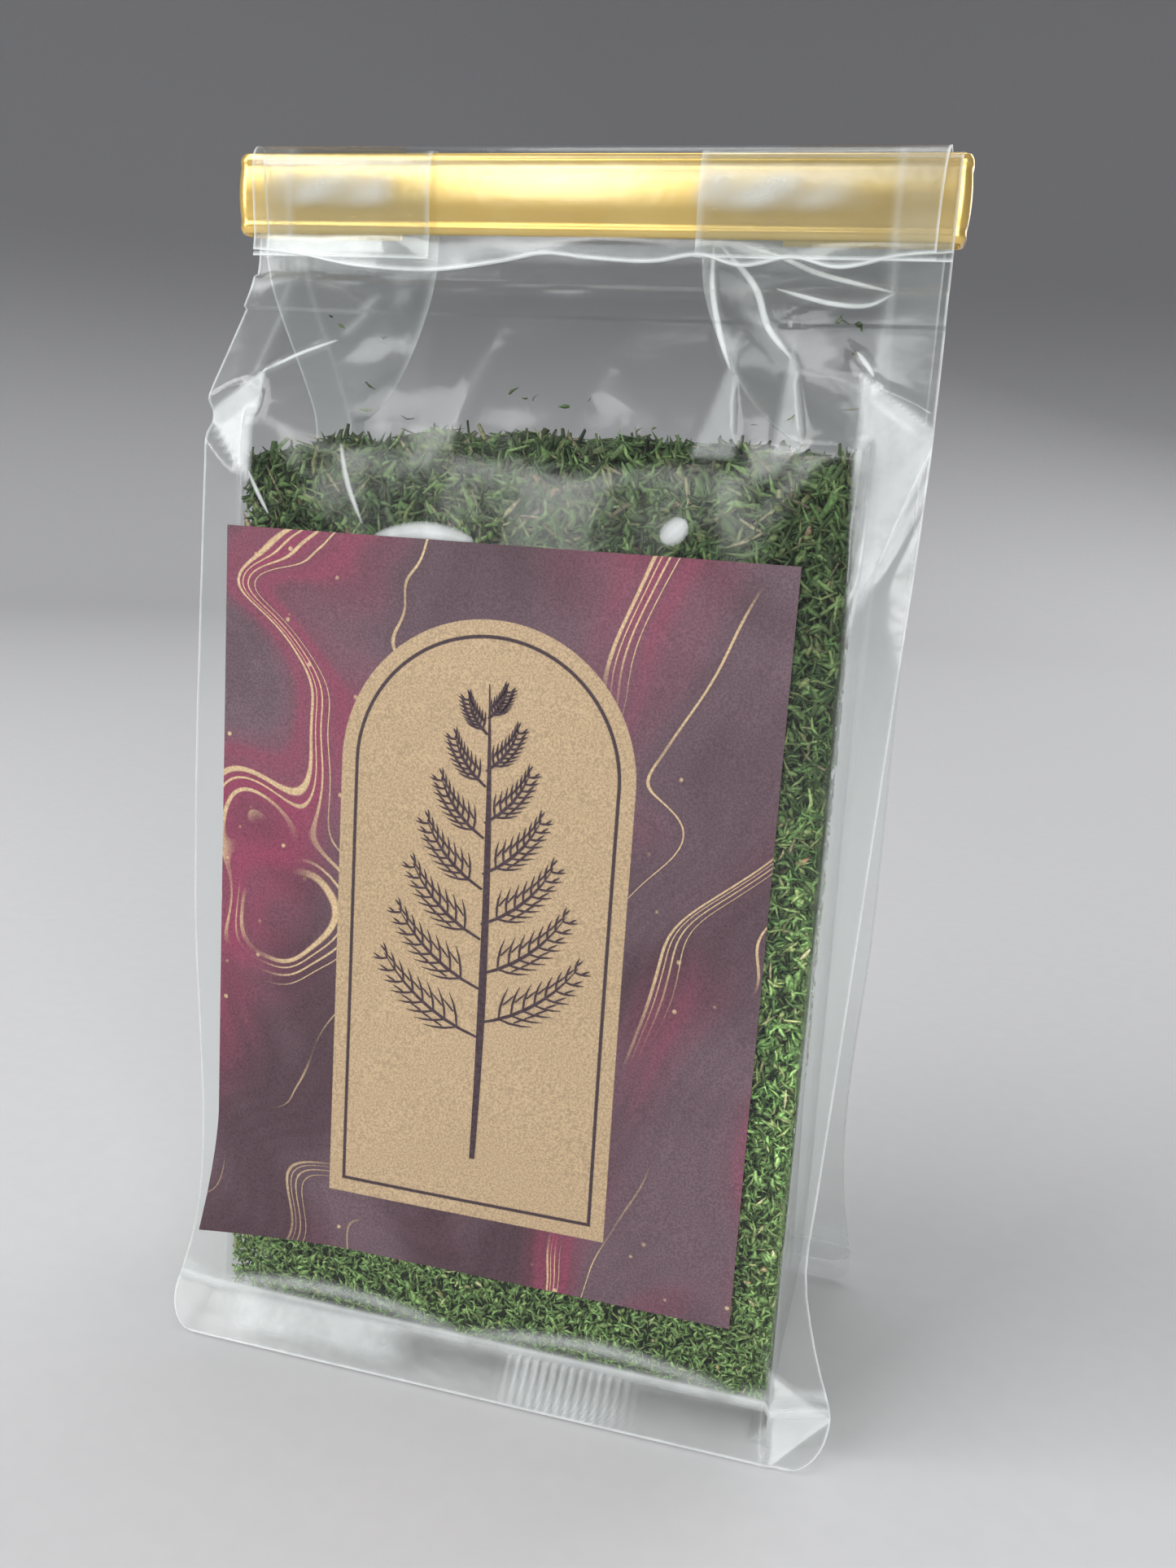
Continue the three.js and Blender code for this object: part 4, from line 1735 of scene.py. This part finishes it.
@dataclass
class PaperLabel:
    """The paper label on the front panel, with a printed dill frond on its plaque."""

    form: BagForm
    box: Box = field(default_factory=lambda: node_box("label"))
    paper: float = 0.16
    standoff: float = 0.32
    corner_lift: float = 3.2
    corner_shift: float = 0.9
    corner_reach: float = 16.0
    ink: float = 0.03
    ink_lift: float = 0.04
    frond_bottom: float = -30.0
    frond_top: float = 30.0
    stem_foot: float = 0.9
    branch_pairs: int = 7
    needle_pairs: int = 8
    branch_reach: float = 13.5

    @property
    def centre(self) -> Array:
        """The middle of the label."""
        return (self.box[0] + self.box[1]) / 2

    def lifted(self, x: Array, z: Array) -> Array:
        """1 at the label's loose lower left corner, falling to 0 at its reach."""
        corner = np.hypot(0.8 * (x - self.box[0][0]), z - self.box[0][2])
        return (1.0 - ramp(corner, 0.0, self.corner_reach)) ** 1.6

    def face_depth(self, x: Array, z: Array) -> Array:
        """Where the paper's middle lies, with its lower left corner lifted off the film.

        Args:
            x: Places across.
            z: Heights.

        Returns:
            Places through the bag.
        """
        y = -self.form.panel(x, z) - self.standoff
        edge = 0.5 * (1.0 - ramp(self.box[1][0] - x, 0.0, 5.0)) ** 2 * bell(z, 42.0, 9.0)
        wave = 0.12 * np.sin(0.11 * x + 0.8) * np.sin(0.09 * z)
        return y - self.corner_lift * self.lifted(x, z) - edge + wave

    def sheet(self) -> Piece:
        """Makes the paper.

        Returns:
            The new piece.
        """
        low, high = self.box

        def shape(u: Array, v: Array) -> Array:
            """Lays the paper's grid out."""
            x, z = mix(low[0], high[0], u), mix(low[2], high[2], v)
            return stack(x - self.corner_shift * self.lifted(x, z), self.face_depth(x, z), z)

        piece = add_sheet("label", 70, 92, shape)
        thicken(piece, self.paper)
        return smooth_shade(piece, 40.0)

    def stroke(self, start: Array, end: Array, width: float, sag: float = 0.0) -> Array:
        """One tapered stroke of print, in the label's plane.

        Args:
            start: Its root.
            end: Its tip.
            width: Its width at its widest.
            sag: How far its middle bows aside.

        Returns:
            Its points, in pairs.
        """
        run = end - start
        length = float(np.linalg.norm(run))
        aside = np.array([-run[1], run[0]]) / length
        share = np.linspace(0.0, 1.0, max(3, math.ceil(length / 2.5)) + 1)[:, None]
        half = width / 2 * np.interp(share, (0.0, 0.35, 0.7, 1.0), (0.7, 1.0, 0.75, 0.12))
        middle = start + share * run + aside * sag * 4.0 * share * (1.0 - share)
        return stack(middle - aside * half, middle + aside * half).reshape(-1, 2)

    def branch(self, root: Array, side: Side, share: float) -> list[Array]:
        """One side branch of the frond with its forked needles.

        Args:
            root: Where it leaves the stem.
            side: Which way it goes.
            share: How far up the frond it is, 0 to 1.

        Returns:
            Its strokes.
        """
        reach = self.branch_reach * (1.0 - share) ** 0.8 + 2.5
        rise = math.radians(34.0 + 26.0 * share)
        way = np.array([side.value * math.cos(rise), math.sin(rise)])
        aside = np.array([-way[1], way[0]])
        sag = -side.value * 0.09 * reach
        strokes = [self.stroke(root, root + reach * way, 0.45, sag)]
        for needle in range(self.needle_pairs):
            step = (needle + 1.6) / (self.needle_pairs + 1.0)
            foot = root + step * reach * way + aside * sag * 4.0 * step * (1.0 - step)
            size = 0.20 * reach * (1.25 - step) + 1.1
            for bend in (-1.0, 1.0):
                turn = math.atan2(way[1], way[0]) + bend * math.radians(40.0)
                tip = foot + size * np.array([math.cos(turn), math.sin(turn)])
                strokes.append(self.stroke(foot, tip, 0.30, bend * 0.06 * size))
                fork = turn - bend * math.radians(30.0)
                middle = foot + 0.45 * (tip - foot)
                end = middle + 0.5 * size * np.array([math.cos(fork), math.sin(fork)])
                strokes.append(self.stroke(middle, end, 0.24))
        return strokes

    def frond(self) -> Piece:
        """Prints one upright feathery frond on the plaque.

        Returns:
            The new piece.
        """
        bottom, top, foot = self.frond_bottom, self.frond_top, self.stem_foot
        strokes = [self.stroke(np.array([foot, bottom]), np.array([0.0, top]), 1.0, -0.7)]
        for pair in range(self.branch_pairs):
            for side in Side:
                share = (pair + 0.35 + 0.15 * side.value) / self.branch_pairs
                root = np.array([foot * (1.0 - share), mix(bottom + 15.0, top - 1.0, share)])
                strokes += self.branch(root, side, share)
        ribbons = []
        for stroke in strokes:
            x, z = (stroke + self.centre[[0, 2]]).T
            ribbons.append(stack(x, self.face_depth(x, z) - self.paper / 2 - self.ink_lift, z))
        piece = add_ribbons("label_frond", ribbons, 2)
        edit(piece, face_out)
        thicken(piece, self.ink)
        return piece

    def build(self, paper: LabelFinish, ink: InkFinish) -> None:
        """Makes and dresses the label."""
        seat(self.sheet(), paper.make(self.centre), "label_paper", "label")
        seat(self.frond(), ink.make(), "label_paper", "label")


# The tie


@dataclass
class TinTie:
    """The gold tie: a strip with a wire in a ridge along each edge, its ends bent round behind the neck."""

    box: Box = field(default_factory=lambda: node_box("tie_strip"))
    wire_box: Box = field(default_factory=lambda: node_box("tie_wire_upper"))
    web: float = 0.44
    crown: float = 0.38
    ridge: float = 0.22
    ridge_width: float = 0.5
    ridge_inset: float = 0.75
    wire: float = 0.3
    cad_wire: float = 0.35
    inset: float = 0.06
    left_end: float = 45.15
    left_radius: float = 2.2
    right_radius: float = 0.9
    tail: float = 20.5

    def path(self, steps: int) -> tuple[Array, Array]:
        """The strip's way seen from above, from one tail's end to the other's.

        Args:
            steps: How many equal steps to take.

        Returns:
            Points across and through the bag, and the way that the strip's outside faces at each.
        """
        front = float(self.wire_box[0][1]) + self.cad_wire
        right_end, back = (float(value) - self.cad_wire for value in self.wire_box[1][:2])
        corners = [np.array([self.tail - self.left_end, back])]
        bends = ((-1.0, self.left_radius, self.left_end), (1.0, self.right_radius, right_end))
        for side, radius, end in bends:
            rounds = []
            for y, start in ((back, 0.5), (front, 1.0)):
                inward = math.copysign(radius, y - (front + back) / 2)
                centre = np.array([side * (end - radius), y - inward])
                for angle in np.linspace(start, start + 0.5, 9) * math.pi:
                    rounds.append(centre + radius * np.array([-side * math.cos(angle), math.sin(angle)]))
            corners += rounds if side < 0 else rounds[::-1]
        corners.append(np.array([right_end - self.tail, back]))
        line = np.array(corners)
        run = run_of(line)
        where = np.linspace(0.0, run[-1], steps)
        places = stack(*(np.interp(where, run, column) for column in line.T))
        way = unit(np.gradient(places, axis=0))
        return places, stack(way[:, 1], -way[:, 0])

    def along(
        self, name: str, columns: int, rows: int, section: Callable[[Array], tuple[Array, Array]]
    ) -> Piece:
        """Sweeps a closed section along the strip's way.

        Args:
            name: The piece's name.
            columns: Faces round the section.
            rows: Faces along the way.
            section: Takes shares round the section, and gives how far out and how high each point is.

        Returns:
            The new piece.
        """
        places, outs = self.path(rows + 1)

        def shape(u: Array, v: Array) -> Array:
            """Lays the grid out round the section and along the way.

            Args:
                u: Shares across, 0 to 1.
                v: Shares along, 0 to 1.

            Returns:
                Points, one a row.
            """
            index = np.rint(v * rows).astype(int)
            out, up = section(u)
            return np.column_stack([places[index] + out[:, None] * outs[index], up])

        piece = add_sheet(name, columns, rows, shape)
        close_tube(piece)
        return smooth_shade(piece, 50.0)

    def strip_section(self, u: Array) -> tuple[Array, Array]:
        """The strip's section: a thin web with a ridge along each edge.

        Args:
            u: Shares round the section, 0 to 1.

        Returns:
            How far out and how high each point is.
        """
        low, high = float(self.box[0][2]) + self.inset, float(self.box[1][2]) - self.inset
        middle, half = (low + high) / 2, (high - low) / 2
        front = u < 0.5
        up = half * np.sin(math.pi * (np.where(front, 2.0 * u, 2.0 - 2.0 * u) - 0.5))
        wire_up = half - self.ridge_inset
        bulge = self.ridge * bell(np.abs(up), wire_up, self.ridge_width)
        crown = self.crown * np.clip(1.0 - (up / wire_up) ** 2, 0.0, 1.0) * front
        thick = self.web / 2 + bulge + crown
        thick *= np.sqrt(np.clip(1.0 - (np.abs(up) / half) ** 24, 0.0, 1.0))
        return np.where(front, thick, -thick), middle + up

    def wire_section(self, u: Array, height: float) -> tuple[Array, Array]:
        """The section of a round wire at a height."""
        turn = 2.0 * math.pi * u
        return self.wire * np.cos(turn), height + self.wire * np.sin(turn)

    def build(self, gold: GoldFinish, wire: WireFinish) -> None:
        """Makes and dresses the tie.

        Args:
            gold: The strip's finish.
            wire: The wires' finish.
        """
        seat(self.along("tie_strip", 96, 420, self.strip_section), gold.make(), "gold_strip", "tie_strip")
        steel = wire.make()
        for node in ("tie_wire_upper", "tie_wire_lower"):
            low, high = node_box(node)
            height = float(low[2] + high[2]) / 2
            piece = self.along(f"{node}_soft", 12, 300, lambda u: self.wire_section(u, height))
            seat(piece, steel, "wire_steel", node)


# The studio


@dataclass(frozen=True)
class SoftBox:
    """One soft white area light, aimed at a point; places in metres."""

    name: str
    place: tuple[float, float, float]
    aim: tuple[float, float, float]
    size: tuple[float, float]
    power: float

    def hang(self) -> None:
        """Adds the light."""
        lamp = bpy.data.lights.new(self.name, "AREA")
        lamp.shape = "RECTANGLE"
        lamp.size, lamp.size_y = self.size
        lamp.energy = self.power
        holder = bpy.data.objects.new(self.name, lamp)
        turn = (Vector(self.aim) - Vector(self.place)).to_track_quat("-Z", "Y").to_matrix().to_4x4()
        holder.matrix_world = Matrix.Translation(self.place) @ turn
        holder.visible_camera = False
        bpy.context.scene.collection.objects.link(holder)


@dataclass
class Studio:
    """A pale floor that curves up into a grey wall, soft lights and the camera."""

    focal_pixels: float = 1666.3
    frame_pixels: float = 1926.0
    sensor: float = 36.0
    azimuth: float = math.radians(14.5)
    elevation: float = math.radians(12.98)
    roll: float = math.radians(3.34)
    target: tuple[float, float, float] = (4.6, 0.0, 76.41)
    distance: float = 177.78
    floor_radius: float = 0.9
    cove_radius: float = 0.5
    wall_height: float = 1.1
    film_layers: int = 48
    lights: tuple[SoftBox, ...] = (
        SoftBox("key", (-0.76, -0.48, 0.80), (0.0, 0.0, 0.07), (0.80, 0.80), 8.8),
        SoftBox("window", (-0.44, -0.73, 0.62), (0.0, 0.0, 0.11), (0.10, 0.30), 0.7),
        SoftBox("veil", (-0.32, -1.02, 0.42), (0.0, 0.0, 0.13), (0.15, 0.26), 0.55),
        SoftBox("bar", (-0.31, -1.05, 0.56), (0.0, 0.0, 0.14), (0.60, 0.16), 0.95),
        SoftBox("side", (-1.00, -0.27, 0.36), (0.0, 0.0, 0.13), (0.30, 0.30), 1.4),
        SoftBox("right", (0.54, -0.80, 0.36), (0.0, 0.0, 0.10), (0.34, 0.50), 3.5),
        SoftBox("overhead", (0.0, 0.18, 1.15), (0.0, 0.0, 0.07), (0.70, 0.50), 3.4),
        SoftBox("back", (0.42, 0.95, 0.60), (0.0, 0.0, 0.07), (0.80, 0.60), 3.4),
    )
    ambient: Colour = (0.17, 0.172, 0.18)

    def floor(self, finish: FloorFinish) -> None:
        """Spins the floor and its wall from one profile.

        Args:
            finish: The finish to use.
        """
        flat, cove = self.floor_radius, self.cove_radius

        def shape(u: Array, v: Array) -> Array:
            """Lays the grid out as a dish round the bag.

            Args:
                u: Shares across, 0 to 1.
                v: Shares along, 0 to 1.

            Returns:
                Points, one a row.
            """
            turn = 2.0 * math.pi * u
            bend = ramp(v, 0.4, 0.8) * math.pi / 2
            radius = flat * ramp(v, 0.0, 0.4) + cove * np.sin(bend)
            height = cove * (1.0 - np.cos(bend)) + (self.wall_height - cove) * ramp(v, 0.8, 1.0)
            return stack(radius * np.cos(turn), radius * np.sin(turn), height) / MM

        dish = add_sheet("studio_floor", 96, 60, shape)
        edit(dish, weld(0.001))
        smooth_shade(dish, 60.0)
        dish.data.materials.append(finish.make())
        dish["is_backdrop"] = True

    def camera(self) -> None:
        """Puts the camera where the photograph was taken from."""
        back = Vector((
            math.sin(self.azimuth) * math.cos(self.elevation),
            -math.cos(self.azimuth) * math.cos(self.elevation),
            math.sin(self.elevation),
        ))
        level = Vector((math.cos(self.azimuth), math.sin(self.azimuth), 0.0))
        above = back.cross(level)
        right = level * math.cos(self.roll) + above * math.sin(self.roll)
        up = above * math.cos(self.roll) - level * math.sin(self.roll)
        turn = Matrix((right, up, back)).transposed().to_4x4()
        lens = bpy.data.cameras.new("photo_camera")
        lens.sensor_width = self.sensor
        lens.lens = self.focal_pixels / self.frame_pixels * self.sensor
        lens.clip_start = 0.005
        holder = bpy.data.objects.new("photo_camera", lens)
        holder.matrix_world = Matrix.Translation((Vector(self.target) + back * self.distance) * MM) @ turn
        bpy.context.scene.collection.objects.link(holder)
        bpy.context.scene.camera = holder

    def build(self, finish: FloorFinish) -> None:
        """Sets up the floor, the lights, the air's own light and the camera.

        Args:
            finish: The finish to use.
        """
        self.floor(finish)
        for light in self.lights:
            light.hang()
        world = bpy.data.worlds.new("studio_air")
        world.use_nodes = True
        world.node_tree.nodes["Background"].inputs["Color"].default_value = (*self.ambient, 1.0)
        scene = bpy.context.scene
        scene.world = world
        scene.cycles.transparent_max_bounces = self.film_layers
        scene.view_settings.view_transform = "Standard"
        self.camera()


def write_sizes() -> None:
    """Works out the CAD model's box and the dressed model's box, in metres, and keeps neither."""
    boxes = {"cad": CAD_BOX, "visual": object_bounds()}
    {name: [list(corner) for corner in box] for name, box in boxes.items()}


def main() -> None:
    """Builds and dresses the bag, piece by piece, and sets up the studio."""
    logging.basicConfig(level=logging.INFO, format="%(message)s")
    form = BagForm()
    FilmBag(form).build(FilmFinish())
    DillFill(form).build(DillFinish())
    PaperLabel(form).build(LabelFinish(), InkFinish())
    TinTie().build(GoldFinish(), WireFinish())
    Studio().build(FloorFinish())
    write_sizes()


if __name__ == "__main__":
    main()
